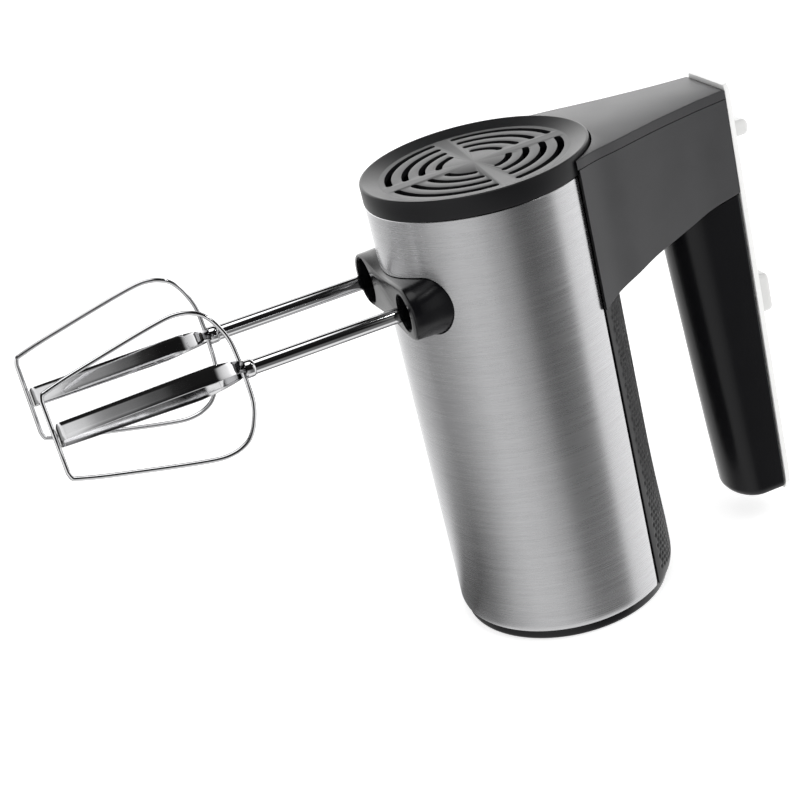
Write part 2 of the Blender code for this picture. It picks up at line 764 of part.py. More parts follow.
def make_gearbox():
    front = (8.0, 12.0)
    rear = (-13.0, -9.0)
    foot = GEARBOX_Z
    floor = foot + GEARBOX_FLOOR
    top = BEATER_Z + 10.9
    outline = [
        (-GEARBOX_HALF_X, foot),
        (GEARBOX_HALF_X, foot),
        (GEARBOX_HALF_X, floor),
        (front[1], floor),
        (front[1], top),
        (front[0], top),
        (front[0], floor),
        (rear[1], floor),
        (rear[1], top),
        (rear[0], top),
        (rear[0], floor),
        (-GEARBOX_HALF_X, floor),
    ]
    frame = extrude("gearbox_frame", outline, -GEARBOX_HALF_Y, GEARBOX_HALF_Y, "Y", "machine_steel")
    bush_r = SPINDLE_R + 2.0
    bushes = [circle(bush_r + GAP, (side * BEATER_Y, BEATER_Z), 24) for _, side in sides()]
    cut(frame, extrude_many("bush_seats", bushes, -40.0, 40.0, "X"))
    cut(frame, rod("gearbox_shaft_hole", SHAFT_R + 4.5, foot - THROUGH, floor + THROUGH, segments=24))
    for name, side in sides():
        at = (side * BEATER_Y, BEATER_Z)
        for end, (low, high) in (("front", front), ("rear", rear)):
            tube("spindle_bush_%s_%s" % (name, end), SPINDLE_R + RUNNING, bush_r, low - 0.8, high + 0.8,
                 "X", at, "bronze", 24)


def wheel_outline(centre):
    """A worm wheel with straight teeth, one of them pointing along -Y."""
    tip = WHEEL_TIP_R
    root = WHEEL_R - 1.25 * MODULE
    half_pitch = (WORM_PITCH / 2 - TOOTH_PLAY) / WHEEL_R / 2
    points = []
    for i in range(WHEEL_TEETH):
        middle = math.pi + 2 * math.pi * i / WHEEL_TEETH
        for radius, half in ((root, half_pitch * 1.62), (tip, half_pitch * 0.52)):
            points.append((radius, middle - half))
        for radius, half in ((tip, half_pitch * 0.52), (root, half_pitch * 1.62)):
            points.append((radius, middle + half))
    return [(centre[0] + r * math.cos(a), centre[1] + r * math.sin(a)) for r, a in points]


def make_wheels():
    for name, side in sides():
        at = (side * BEATER_Y, BEATER_Z)
        origin = (0.0, *at)
        half = WHEEL_FACE / 2
        wheel = extrude("worm_wheel_" + name, wheel_outline(at), -half, half, "X", "nylon", origin)
        cut(wheel, rod("wheel_bore_" + name, SPINDLE_R + 0.1, -10.0, 10.0, "X", at, segments=24))
        bore = STEM_R + 0.3
        low = STEM_END - 1.0
        end = NOSE_LOW - 0.6
        profile = [(0.0, -15.0), (SPINDLE_R, -15.0), (SPINDLE_R, end), (bore, end), (bore, low), (0.0, low)]
        lathe("spindle_" + name, profile, "X", at, "machine_steel", 24, origin)


def make_rotor():
    """Armature shaft with the worm that turns both wheels."""
    profile = [
        (0.0, MOTOR_Z - 3.5),
        (SHAFT_R, MOTOR_Z - 3.0),
        (SHAFT_R, BEATER_Z - WORM_HALF - 1.5),
        (WORM_PITCH_R - 1.2, BEATER_Z - WORM_HALF - 1.0),
        (WORM_PITCH_R - 1.2, BEATER_Z + WORM_HALF + 1.0),
        (SHAFT_R, BEATER_Z + WORM_HALF + 1.5),
        (SHAFT_R, FAN_Z + FAN_H - 0.2),
        (0.0, FAN_Z + FAN_H + 0.3),
    ]
    shaft = lathe("worm_shaft", profile, slot="machine_steel", segments=24)
    half = (WORM_PITCH / 2 - TOOTH_PLAY) / 2
    root = WORM_PITCH_R - 1.6
    section = [(0.0, -half * 1.75), (1.6 + 0.9, -half * 0.5), (1.6 + 0.9, half * 0.5), (0.0, half * 1.75)]
    turns = math.floor(2 * (WORM_HALF - 1.5) / WORM_PITCH)
    # The crest stands a quarter pitch above the wheel centres at azimuth 0, so it is half a pitch up on +Y.
    low = BEATER_Z + WORM_PITCH / 4 - WORM_PITCH * round(turns / 2)
    thread = helix_sweep("worm_thread", root, WORM_PITCH, low, turns, section, per_turn=12)
    join(shaft, thread)
    slots = []
    for i in range(12):
        for radius, part in ((16.5, 0.08), (16.5, 0.92), (11.0, 0.97), (11.0, 1.03)):
            angle = 2 * math.pi * (i + part) / 12
            slots.append((radius * math.cos(angle), radius * math.sin(angle)))
    core = extrude("armature_core", slots, CORE_LOW, CORE_HIGH, slot="laminations")
    cut(core, rod("core_bore", SHAFT_R + 0.1, CORE_LOW - THROUGH, CORE_HIGH + THROUGH))
    ends = (("lower", CORE_LOW - 9.0, CORE_LOW - GAP), ("upper", CORE_HIGH + GAP, CORE_HIGH + 9.0))
    for name, low, high in ends:
        belly = (low + high) / 2
        profile = [(SHAFT_R + 0.1, low), (9.0, low), (14.0, belly), (9.0, high), (SHAFT_R + 0.1, high)]
        lathe("winding_" + name, profile, slot="copper", segments=24)
    bars = []
    for i in range(12):
        for radius, part in ((9.5, 0.06), (9.5, 0.94), (8.4, 0.94), (8.4, 1.06)):
            angle = 2 * math.pi * (i + part) / 12
            bars.append((radius * math.cos(angle), radius * math.sin(angle)))
    low = MOTOR_Z + 9.5
    high = low + 15.0
    commutator = extrude("commutator", bars, low, high, slot="copper")
    cut(commutator, rod("commutator_bore", SHAFT_R + 0.1, low - THROUGH, high + THROUGH))
    make_fan()


def make_fan():
    low = FAN_Z
    outer = HOUSING_IN - FAN_MARGIN
    profile = [
        (SHAFT_R + 0.1, low),
        (outer, low),
        (outer, low + 1.2),
        (SHAFT_R + 4.0, low + 1.2),
        (SHAFT_R + 3.0, low + FAN_H),
        (SHAFT_R + 0.1, low + FAN_H),
    ]
    fan = lathe("cooling_fan", profile, slot="black_plastic", segments=32)
    blades = []
    for i in range(11):
        angle = 2 * math.pi * i / 11
        ring = []
        for radius, turn, side in ((9.0, 0.0, -0.5), (outer - 1.0, 0.22, -0.5), (outer - 1.0, 0.22, 0.5), (9.0, 0.0, 0.5)):
            a = angle + turn
            ring.append((radius * math.cos(a) - side * math.sin(a), radius * math.sin(a) + side * math.cos(a)))
        blades.append(ring)
    join(fan, extrude_many("fan_blades", blades, low + 0.6, low + FAN_H))


def loop_outline(half_s, half_h, radius):
    """A rounded rectangle whose two level sides are divided, so that they can follow a curve."""
    corners = rounded(((-half_s, -half_h), (half_s, -half_h), (half_s, half_h), (-half_s, half_h)), (radius,) * 4, 2)
    points = []
    for i, here in enumerate(corners):
        after = corners[(i + 1) % len(corners)]
        points.append(here)
        if abs(after[0] - here[0]) > half_s:
            for k in range(1, 6):
                points.append((here[0] + (after[0] - here[0]) * k / 6, here[1]))
    return points


def wrapped_loop(name, radii, half_deg, band, middle, half_h, slot):
    """A rounded rectangular loop wrapped round the motor axis, as a field coil lies on its pole."""
    inner_r, outer_r = radii
    middle_r = (inner_r + outer_r) / 2
    half_s = math.radians(half_deg) * middle_r
    rings = []
    big = loop_outline(half_s, half_h, 5.0)
    small = loop_outline(half_s - band, half_h - band, 2.0)
    for outer, inner in zip(big, small):
        ring = []
        for (along, up), radius in ((outer, inner_r), (outer, outer_r), (inner, outer_r), (inner, inner_r)):
            angle = along / middle_r + middle
            ring.append((radius * math.cos(angle), radius * math.sin(angle), (CORE_LOW + CORE_HIGH) / 2 + up))
        rings.append(ring)
    loft(name, rings, slot, closed=True)


def make_stator():
    stator = tube("stator_core", 17.3, STATOR_R, CORE_LOW, CORE_HIGH, slot="laminations", segments=36)
    windows = []
    for middle in (90.0, -90.0):
        windows.append(arc(26.0, middle - 39.0, middle + 39.0, 8) + arc(20.0, middle + 39.0, middle - 39.0, 8))
    cut(stator, extrude_many("coil_windows", windows, CORE_LOW - THROUGH, CORE_HIGH + THROUGH))
    for name, turn in (("front", 0.0), ("rear", math.pi)):
        wrapped_loop("field_coil_" + name, (20.6, 25.4), 66.0, 4.6, turn, CORE_H / 2 + 5.4, "copper")


def bearing_carrier(name, bearing, low, thick, boss_top, boss_r, vents, phase):
    """A vented plate across the barrel with a raised boss, and the bearing that sits in it."""
    outer = HOUSING_IN - GAP
    seat = BEARING_R + GAP
    profile = [
        (seat, low),
        (outer, low),
        (outer, low + thick),
        (boss_r, low + thick),
        (boss_r - 0.5, boss_top),
        (seat, boss_top),
    ]
    plate = lathe(name, profile, slot="machine_steel", segments=32)
    cut(plate, extrude_many(name + "_vents", vents_of(*vents, phase), low - THROUGH, boss_top + THROUGH))
    tube(bearing, SHAFT_R + RUNNING, BEARING_R, low - 0.2, boss_top, slot="bronze", segments=24)


def make_motor_mounts():
    vents = (16.0, HOUSING_IN - 10.2)
    bearing_carrier("motor_bracket", "motor_bearing_lower", MOTOR_Z, 2.5, MOTOR_Z + 6.0, 12.0, vents, 0.0)
    vents = (14.0, HOUSING_IN - 6.2)
    top = PLATE_Z + PLATE_BOSS_T
    bearing_carrier("bearing_plate", "motor_bearing_upper", PLATE_Z, PLATE_T, top, 11.0, vents, 45.0)
    for name, side in sides():
        low, high = sorted((side * 10.6, side * 24.0))
        holder = box("brush_holder_" + name, (-4.5, low, MOTOR_Z + 12.5), (4.5, high, MOTOR_Z + 21.5), "nylon")
        cut(holder, box("brush_way_" + name, (-3.0, -60.0, MOTOR_Z + 14.0), (3.0, 60.0, MOTOR_Z + 20.0)))
        low, high = sorted((side * 9.8, side * 21.0))
        box("carbon_brush_" + name, (-2.7, low, MOTOR_Z + 14.3), (2.7, high, MOTOR_Z + 19.7), "carbon")


def vents_of(inner, outer, phase):
    """Four openings round the axis, the first one centred on a given bearing."""
    half = 30.0 if phase == 0.0 else 32.0
    made = []
    for i in range(4):
        middle = phase + 90.0 * i
        made.append(arc(outer, middle - half, middle + half, 6) + arc(inner, middle + half, middle - half, 6))
    return made


# ---------------------------------------------------------------- controls


def make_ejector():
    """Button, push fork and return spring. The fork straddles the motor shaft above the wheels."""
    inside = COVER_X + 0.9
    outside = COVER_X - COVER_T - BUTTON_OUT
    origin = (inside, 0.0, BUTTON_Z)
    rings = []
    for x, shrink in ((inside, 0.0), (outside + 2.5, 0.0), (outside + 0.7, 0.8), (outside, 2.2)):
        outline = button_outline(-shrink)
        rings.append([(x, y, z) for y, z in outline])
    button = loft("eject_button", rings, "white_plastic", origin)
    join(button, box("button_flange", (inside, -7.6, BUTTON_Z - 14.0), (inside + 1.5, 7.6, BUTTON_Z + 5.5)))
    start = inside + 1.5 + GAP
    face = NOSE_LOW - 0.4 - EJECT_TRAVEL
    neck = REAR_X + 28.3
    spread = -BARREL_R - 2.5
    crotch = -HOUSING_IN + 6.2
    arm_in = 8.5
    arm_out = 14.0
    outline = [
        (start, -4.0),
        (neck, -4.0),
        (spread, -arm_out),
        (face, -arm_out),
        (face, -arm_in),
        (crotch, -arm_in),
        (crotch, arm_in),
        (face, arm_in),
        (face, arm_out),
        (spread, arm_out),
        (neck, 4.0),
        (start, 4.0),
    ]
    top = FORK_Z + FORK_T
    fork = extrude("ejector_fork", outline, FORK_Z, top, "Z", "machine_steel", origin)
    half = BEATER_Y + 7.23
    web = box("ejector_web", (face - FORK_T, -half, BEATER_Z - 10.1), (face, half, top))
    gap = ((face - THROUGH, -arm_in, BEATER_Z - 3 * THROUGH), (face + THROUGH, arm_in, BEATER_Z + 14.9))
    cut(web, box("web_gap", *gap))
    holes = [circle(SPINDLE_R + 0.6, (side * BEATER_Y, BEATER_Z), 24) for _, side in sides()]
    cut(web, extrude_many("web_holes", holes, face - THROUGH, face + THROUGH, "X"))
    join(fork, web)
    coil = circle(0.45, segments=5)
    low = inside + 1.5 + GAP + 0.5
    high = REAR_X + SPRING_RIB_X - GAP - 0.5
    turns = 6
    pitch = (high - low) / turns
    helix_sweep("ejector_spring", 3.4, pitch, low, turns, coil, "spring_steel", 9, 0.0, "X",
                (0.0, BUTTON_Z - 7.5), origin)


def make_slider():
    origin = (COVER_X, 0.0, SLIDER_Z)
    face = COVER_X - COVER_T - GAP
    rings = []
    for x, shrink in ((face, 0.3), (face - 0.6, 0.0), (face - SLIDER_OUT + 1.4, 0.6), (face - SLIDER_OUT, 2.4)):
        w = SLIDER_HALF_W - shrink
        h = SLIDER_HALF_H - shrink
        corners = ((-w, SLIDER_Z - h), (w, SLIDER_Z - h), (w, SLIDER_Z + h), (-w, SLIDER_Z + h))
        rings.append([(x, y, z) for y, z in rounded(corners, (2.2,) * 4, 3)])
    knob = loft("speed_slider", rings, "white_plastic", origin)
    stem = box("slider_stem", (face - 1.5, -2.1, SLIDER_Z - 3.0), (COVER_X + 3.0, 2.1, SLIDER_Z + 3.0))
    foot = box("slider_foot", (COVER_X + 1.6, -4.5, SLIDER_Z - 4.5), (COVER_X + 3.0, 4.5, SLIDER_Z + 4.5))
    join(knob, stem, foot)
    box("switch_body", (COVER_X + 3.4, -9.0, SLIDER_Z - 16.0), (COVER_X + 14.0, 9.0, SLIDER_Z + 24.0), "nylon")


# ---------------------------------------------------------------- beaters


def cage_profile(shift):
    """Half of the wire loop as (x, r), from the stem to the tip."""
    shape = (
        (0.0, 0.13),
        (0.008, 0.45),
        (0.046, 0.72),
        (0.091, 0.882),
        (0.148, 0.966),
        (0.205, 1.0),
        (0.27, 1.0),
        (0.38, 0.952),
        (0.51, 0.882),
        (0.655, 0.8),
        (0.843, 0.69),
        (0.965, 0.604),
        (0.989, 0.576),
        (1.0, 0.49),
    )
    return [(CAGE_X + shift + CAGE_L * along, CAGE_R * out) for along, out in shape]


def sweep_loop(name, half_path, section, turn_deg, at, slot, origin, widths=None):
    """A section swept along a half path, across the axis and back along its mirror image."""
    path = half_path + [(x, -r) for x, r in reversed(half_path)]
    widths = widths or [1.0] * len(half_path)
    widths = widths + widths[::-1]
    turn = math.radians(turn_deg)
    across = Vector((0.0, math.cos(turn), math.sin(turn)))
    normal = Vector((0.0, -math.sin(turn), math.cos(turn)))
    forward = Vector((1.0, 0.0, 0.0))
    centre = Vector((0.0, *at))
    rings = []
    for i, (x, r) in enumerate(path):
        before = Vector(path[max(i - 1, 0)])
        after = Vector(path[min(i + 1, len(path) - 1)])
        run = (after - before).normalized()
        if 0 < i < len(path) - 1:
            first = (Vector(path[i]) - before).normalized()
            stretch = 1.0 / max(0.5, first.dot(run))
        else:
            stretch = 1.0
        out = forward * (-run[1]) + across * run[0]
        here = centre + forward * x + across * r
        rings.append([tuple(here + out * (a * stretch) + normal * (b * widths[i])) for a, b in section])
    return loft(name, rings, slot, origin)


def make_beaters():
    """The far beater seats a little less deep than the near one, as its collar is larger."""
    wire = circle(WIRE_R, segments=6)
    half_t = STRIP_T / 2
    half_w = STRIP_W / 2
    strip = [(-half_t, -half_w), (half_t, -half_w), (half_t, half_w), (-half_t, half_w)]
    settings = {
        "near": (NEAR_WIRE_DEG, NEAR_STRIP_DEG, NEAR_SOCKET_R - 0.7, 0.0),
        "far": (FAR_WIRE_DEG, FAR_STRIP_DEG, FAR_SOCKET_R - 0.7, FAR_SHIFT),
    }
    for name, side in sides():
        wire_deg, strip_deg, collar, shift = settings[name]
        at = (side * BEATER_Y, BEATER_Z)
        origin = (NOSE_X, *at)
        neck = CAGE_X + shift - WIRE_R - GAP
        profile = [
            (0.0, STEM_END),
            (STEM_R - 0.8, STEM_END),
            (STEM_R, STEM_END + 1.2),
            (STEM_R, neck - 1.0),
            (STEM_R - 0.4, neck),
            (0.0, neck),
        ]
        lathe("beater_stem_" + name, profile, "X", at, "chrome", 20, origin)
        low = COLLAR_X
        profile = [
            (STEM_R + 0.1, low),
            (collar - 0.5, low),
            (collar, low + 0.6),
            (collar, low + 2.8),
            (STEM_R + 1.2, low + 4.3),
            (STEM_R + 0.1, low + 4.3),
        ]
        lathe("beater_collar_" + name, profile, "X", at, "nylon", 24, origin)
        wire_path = cage_profile(shift)
        strip_path = []
        widths = []
        for x, r in wire_path[1:]:
            along = (x - wire_path[0][0]) / CAGE_L
            strip_path.append((x - STRIP_INSET * along, r * STRIP_SHARE))
            widths.append(min(1.0, STRIP_ROOT_SHARE + along / STRIP_FLARE * (1.0 - STRIP_ROOT_SHARE)))
        sweep_loop("beater_wire_" + name, wire_path, wire, wire_deg, at, "chrome", origin)
        sweep_loop("beater_strip_" + name, strip_path, strip, strip_deg, at, "chrome", origin, widths)


def main():
    clear_scene()
    make_base()
    make_housing()
    make_sleeve()
    make_rear_grip()
    make_vent_cap()
    make_bridge()
    make_lid()
    make_handle()
    make_cover()
    make_nose()
    make_gearbox()
    make_wheels()
    make_rotor()
    make_stator()
    make_motor_mounts()
    make_ejector()
    make_slider()
    make_beaters()


main()
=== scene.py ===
"""Hand mixer: the finished outside, its finishes and its studio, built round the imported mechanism.

Lengths in the tables are millimetres; MM turns them into metres. +Z runs up the barrel, +X is the way
the beaters point, and the near side is +Y.
"""

import functools
import json
import math

import bmesh
import bpy
from bpy.props import FloatProperty, FloatVectorProperty, IntProperty, PointerProperty
from mathutils import Matrix, Vector


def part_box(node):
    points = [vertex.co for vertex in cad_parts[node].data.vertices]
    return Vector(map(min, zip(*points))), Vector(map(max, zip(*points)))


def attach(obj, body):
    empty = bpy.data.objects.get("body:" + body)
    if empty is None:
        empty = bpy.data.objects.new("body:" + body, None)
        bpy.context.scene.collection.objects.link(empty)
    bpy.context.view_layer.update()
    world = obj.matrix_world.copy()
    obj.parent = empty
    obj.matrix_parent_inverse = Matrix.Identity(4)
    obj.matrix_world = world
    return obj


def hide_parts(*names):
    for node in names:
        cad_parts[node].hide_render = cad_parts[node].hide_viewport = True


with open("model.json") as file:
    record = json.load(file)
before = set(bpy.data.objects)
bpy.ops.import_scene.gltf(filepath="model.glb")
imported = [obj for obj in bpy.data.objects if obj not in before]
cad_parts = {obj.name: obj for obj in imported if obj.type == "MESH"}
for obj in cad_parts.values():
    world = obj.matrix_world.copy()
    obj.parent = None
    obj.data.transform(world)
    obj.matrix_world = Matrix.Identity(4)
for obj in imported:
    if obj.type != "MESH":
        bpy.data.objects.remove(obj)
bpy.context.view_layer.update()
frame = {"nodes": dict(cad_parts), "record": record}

bl_info = {
    "name": "Hand Mixer",
    "version": (1, 0, 0),
    "blender": (4, 5, 0),
    "location": "3D View > Sidebar > Hand Mixer",
    "description": "Builds the outside of a hand mixer round its mechanism, with its finishes and studio",
    "category": "Add Mesh",
}

MM = 0.001


def box_of(node):
    """Lowest and highest corner of a node at rest, in millimetres."""
    low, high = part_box(node)
    return low / MM, high / MM


SLEEVE_LOW, SLEEVE_HIGH = box_of("steel_sleeve")
BASE_HIGH = box_of("base_plate")[1]
CAP_HIGH = box_of("vent_cap")[1]
LID_LOW, LID_HIGH = box_of("bridge_lid")
HANDLE_LOW, HANDLE_HIGH = box_of("handle_shell")
COVER_LOW, COVER_HIGH = box_of("back_cover")
NOSE_LOW, NOSE_HIGH = box_of("nose_socket")
BUTTON_LOW = box_of("eject_button")[0]
SLIDER_LOW, SLIDER_HIGH = box_of("speed_slider")
STEM_LOW, STEM_HIGH = box_of("beater_stem_near")

GAP = 0.3
SHEET = 0.8
BARREL_R = SLEEVE_HIGH.x
SEAM_DEG = 54.5
GRIP_SEAM_DEG = 3.0
BEATER_Y = (STEM_LOW.y + STEM_HIGH.y) / 2
BEATER_Z = (STEM_LOW.z + STEM_HIGH.z) / 2
NOSE_X = NOSE_HIGH.x
NOSE_HALF = 34.0
NOSE_R = 10.2
NEAR_BORE_R = 6.7
FAR_BORE_R = 9.0
LOOP_R = 27.0
LOOP_LENGTH = 70.2
REAR_X = HANDLE_LOW.x
# A point on the bridge's underside where the handle's top meets it, as (x, z).
HANDLE_TOP = (-70.0, 138.9)
BUTTON_Z = 166.0
SLIDER_TRAVEL = 14.0

# Along the bridge: distance from the barrel's axis, half width, and height of the underside.
BRIDGE_ROWS = (
    (-26.3, 36.6, 126.8),
    (-35.0, 32.5, 130.3),
    (-45.0, 29.4, 133.2),
    (-55.0, 25.9, 136.1),
    (-65.0, 22.6, 138.0),
    (-75.0, 19.8, 140.3),
    (-85.0, 17.3, 142.7),
    (-98.3, 14.8, 144.3),
)
BRIDGE_FRONT = BRIDGE_ROWS[0][0]

# Half of a beater's wire loop: share of its length from the hub, and share of its radius.
LOOP_ROWS = (
    (-0.002, 0.0),
    (0.0, 0.13),
    (0.008, 0.45),
    (0.046, 0.72),
    (0.091, 0.882),
    (0.148, 0.966),
    (0.205, 1.0),
    (0.27, 1.0),
    (0.38, 0.952),
    (0.51, 0.882),
    (0.655, 0.8),
    (0.843, 0.69),
    (0.965, 0.604),
    (0.989, 0.576),
    (1.0, 0.49),
)


# ---------------------------------------------------------------- sizes and colours a user may change


class MixerSizes(bpy.types.PropertyGroup):
    """Sizes of the visible pieces that the mechanism does not fix."""

    sleeve_edge: FloatProperty(
        name="Sleeve edge", description="How far the steel's lower edge rolls in", default=0.9 * MM,
        min=0.0, max=3 * MM, unit="LENGTH", subtype="DISTANCE")
    slot_width: FloatProperty(
        name="Vent slot width", description="Width of each curved slot in the cap", default=2.7 * MM,
        min=1 * MM, max=4 * MM, unit="LENGTH", subtype="DISTANCE")
    slot_rings: IntProperty(
        name="Vent slot rings", description="Rings of slots in the cap", default=4, min=1, max=5)
    dimple_depth: FloatProperty(
        name="Grip dimple depth", description="Depth of the dimples in the rear grip", default=0.8 * MM,
        min=0.0, max=1 * MM, unit="LENGTH", subtype="DISTANCE")
    wire_thickness: FloatProperty(
        name="Beater wire", description="Diameter of the wire of each beater", default=1.7 * MM,
        min=1 * MM, max=3 * MM, unit="LENGTH", subtype="DISTANCE")
    strip_width: FloatProperty(
        name="Beater strip", description="Width of the flat strip of each beater", default=6.3 * MM,
        min=3 * MM, max=12 * MM, unit="LENGTH", subtype="DISTANCE")
    lid_chamfer: FloatProperty(
        name="Lid chamfer", description="Chamfer along the top edge of the bridge", default=0.6 * MM,
        min=0.2 * MM, max=3 * MM, unit="LENGTH", subtype="DISTANCE")


class MixerColours(bpy.types.PropertyGroup):
    """Base colours of the finishes."""

    steel: FloatVectorProperty(
        name="Steel", description="Brushed steel of the barrel", default=(0.60, 0.60, 0.61),
        min=0.0, max=1.0, size=3, subtype="COLOR")
    black: FloatVectorProperty(
        name="Black plastic", description="Glossy black of the handle and nose",
        default=(0.004, 0.004, 0.005), min=0.0, max=1.0, size=3, subtype="COLOR")
    grey: FloatVectorProperty(
        name="Cap plastic", description="Satin near-black of the vent cap", default=(0.008, 0.008, 0.009),
        min=0.0, max=1.0, size=3, subtype="COLOR")
    bridge: FloatVectorProperty(
        name="Bridge plastic", description="Satin dark grey of the bridge", default=(0.040, 0.040, 0.042),
        min=0.0, max=1.0, size=3, subtype="COLOR")
    rubber: FloatVectorProperty(
        name="Grip", description="Soft black of the rear grip", default=(0.010, 0.010, 0.011),
        min=0.0, max=1.0, size=3, subtype="COLOR")
    white: FloatVectorProperty(
        name="White plastic", description="White of the back cover and controls", default=(0.90, 0.90, 0.89),
        min=0.0, max=1.0, size=3, subtype="COLOR")


class MixerStudio(bpy.types.PropertyGroup):
    """The camera's place and the strength of the studio's light."""

    camera_place: FloatVectorProperty(
        name="Camera", description="Where the camera stands", default=(0.2047, 0.6192, 0.3945),
        size=3, unit="LENGTH", subtype="TRANSLATION")
    camera_turn: FloatVectorProperty(
        name="Camera turn", description="How the camera is turned", size=3, subtype="EULER",
        default=(math.radians(64.886), math.radians(12.979), math.radians(159.966)))
    camera_lens: FloatProperty(
        name="Lens", description="Focal length on a 36 mm sensor, in millimetres", default=81.87,
        min=20.0, max=200.0)
    sky: FloatProperty(
        name="Room light", description="Strength of the even light from all round", default=0.70,
        min=0.0, max=5.0)


# ---------------------------------------------------------------- modelling


def deselect_all():
    """Leaves edit mode with nothing selected."""
    if bpy.context.mode != "OBJECT":
        bpy.ops.object.mode_set(mode="OBJECT")
    bpy.ops.object.select_all(action="DESELECT")


def select_only(obj):
    """Selects one object and makes it the active one."""
    deselect_all()
    obj.select_set(True)
    bpy.context.view_layer.objects.active = obj


def fresh(name):
    """The primitive that was just added, with its name."""
    obj = bpy.context.object
    obj.name = name
    obj.data.name = name
    return obj


def edit(obj):
    """Opens a piece in edit mode with all of it selected."""
    select_only(obj)
    bpy.ops.object.mode_set(mode="EDIT")
    bpy.ops.mesh.select_mode(type="VERT")
    bpy.ops.mesh.select_all(action="SELECT")


SAME_POINT = 0.002 * MM


def pick(kind, test):
    """In edit mode, selects only the vertices, edges or faces that pass a test."""
    bpy.ops.mesh.select_mode(type=kind)
    bpy.ops.mesh.select_all(action="DESELECT")
    mesh = bpy.context.edit_object.data
    bm = bmesh.from_edit_mesh(mesh)
    for item in {"VERT": bm.verts, "EDGE": bm.edges, "FACE": bm.faces}[kind]:
        if test(item):
            item.select_set(True)
    bm.select_flush_mode()
    bmesh.update_edit_mesh(mesh)


def close_mesh():
    """Merges what meets, turns every face outwards and leaves edit mode."""
    bpy.ops.mesh.select_all(action="SELECT")
    bpy.ops.mesh.remove_doubles(threshold=SAME_POINT)
    bpy.ops.mesh.normals_make_consistent(inside=False)
    bpy.ops.object.mode_set(mode="OBJECT")


def modify(obj, kind, **settings):
    """Adds a modifier, sets it and applies it."""
    select_only(obj)
    bpy.ops.object.modifier_add(type=kind)
    modifier = obj.modifiers[-1]
    for key, value in settings.items():
        setattr(modifier, key, value)
    bpy.ops.object.modifier_apply(modifier=modifier.name)
    return obj


def soften(obj, width, segments=2, angle=40.0):
    """Rounds the sharp edges."""
    return modify(obj, "BEVEL", width=width * MM, segments=segments, limit_method="ANGLE",
                  angle_limit=math.radians(angle), use_clamp_overlap=True, miter_outer="MITER_ARC")


def shape_with(obj, operation, *others):
    """Cuts other solids out of a piece, or joins them to it, and removes them."""
    for other in others:
        modify(obj, "BOOLEAN", operation=operation, solver="EXACT", object=other)
        bpy.data.objects.remove(other, do_unlink=True)
    return obj


def point_of(table, u):
    """A smooth curve through a table's rows, at a fractional row number."""
    last = len(table) - 1
    i = min(int(u), last - 1)
    t = u - i
    a, b, c, d = (Vector(table[max(0, min(last, i + k))]) for k in (-1, 0, 1, 2))
    bend = (2 * a - 5 * b + 4 * c - d) * t * t
    twist = (3 * b - a - 3 * c + d) * t ** 3
    return 0.5 * (2 * b + (c - a) * t + bend + twist)


def smooth_rows(table, steps):
    """The rows of a table with points between them, on a smooth curve."""
    count = (len(table) - 1) * steps
    return [point_of(table, i / steps) for i in range(count + 1)]


def line_through(name, points):
    """A line of edges drawn from point to point; it stays in edit mode, all selected."""
    deselect_all()
    bpy.ops.mesh.primitive_plane_add(size=MM)
    obj = fresh(name)
    edit(obj)
    bpy.ops.mesh.merge(type="CENTER")
    bpy.ops.transform.translate(value=points[0])
    for here, after in zip(points, points[1:]):
        bpy.ops.mesh.extrude_vertices_move(TRANSFORM_OT_translate={"value": after - here})
    bpy.ops.mesh.select_all(action="SELECT")
    return obj


def turned(name, profile, steps=160, start=0.0, sweep=360.0, closed=False):
    """A profile of (radius, height) drawn and spun about Z; closed joins its ends first."""
    turn = math.radians(start)
    points = [Vector((r * math.cos(turn), r * math.sin(turn), z)) * MM for r, z in profile]
    obj = line_through(name, points)
    if closed:
        pick("VERT", lambda v: min((v.co - end).length for end in (points[0], points[-1])) < SAME_POINT / 2)
        bpy.ops.mesh.edge_face_add()
        bpy.ops.mesh.select_all(action="SELECT")
    # The spin operator counts a turn the other way round.
    bpy.ops.mesh.spin(steps=steps, angle=-math.radians(sweep), center=(0, 0, 0), axis=(0, 0, 1))
    bpy.ops.mesh.select_all(action="SELECT")
    bpy.ops.mesh.remove_doubles(threshold=SAME_POINT)
    if sweep < 360.0:
        bpy.ops.mesh.fill_holes(sides=0)
    close_mesh()
    return obj


def laid_along_x(obj, y, z):
    """Turns a piece made about Z so that it lies along X through a point."""
    place = Matrix.Translation(Vector((0.0, y, z)) * MM)
    obj.matrix_world = place @ Matrix.Rotation(math.pi / 2, 4, "Y")
    return settle(obj)


def settle(obj):
    """Puts the piece's place into its mesh."""
    select_only(obj)
    bpy.ops.object.transform_apply(location=True, rotation=True, scale=True)
    return obj


def rod(name, radius, low, high, x=0.0, y=0.0, vertices=48):
    """An upright cylinder, used as a cutter."""
    deselect_all()
    middle = Vector((x, y, (low + high) / 2)) * MM
    bpy.ops.mesh.primitive_cylinder_add(
        vertices=vertices, radius=radius * MM, depth=(high - low) * MM, location=middle)
    return settle(fresh(name))


def block(name, low, high):
    """A box between two corners."""
    deselect_all()
    low = Vector(low)
    high = Vector(high)
    bpy.ops.mesh.primitive_cube_add(size=1.0, location=(low + high) / 2 * MM)
    obj = fresh(name)
    obj.scale = (high - low) * MM
    return settle(obj)


def merged(name, pieces):
    """Several solids as one object."""
    deselect_all()
    for piece in pieces:
        piece.select_set(True)
    bpy.context.view_layer.objects.active = pieces[0]
    bpy.ops.object.join()
    return fresh(name)


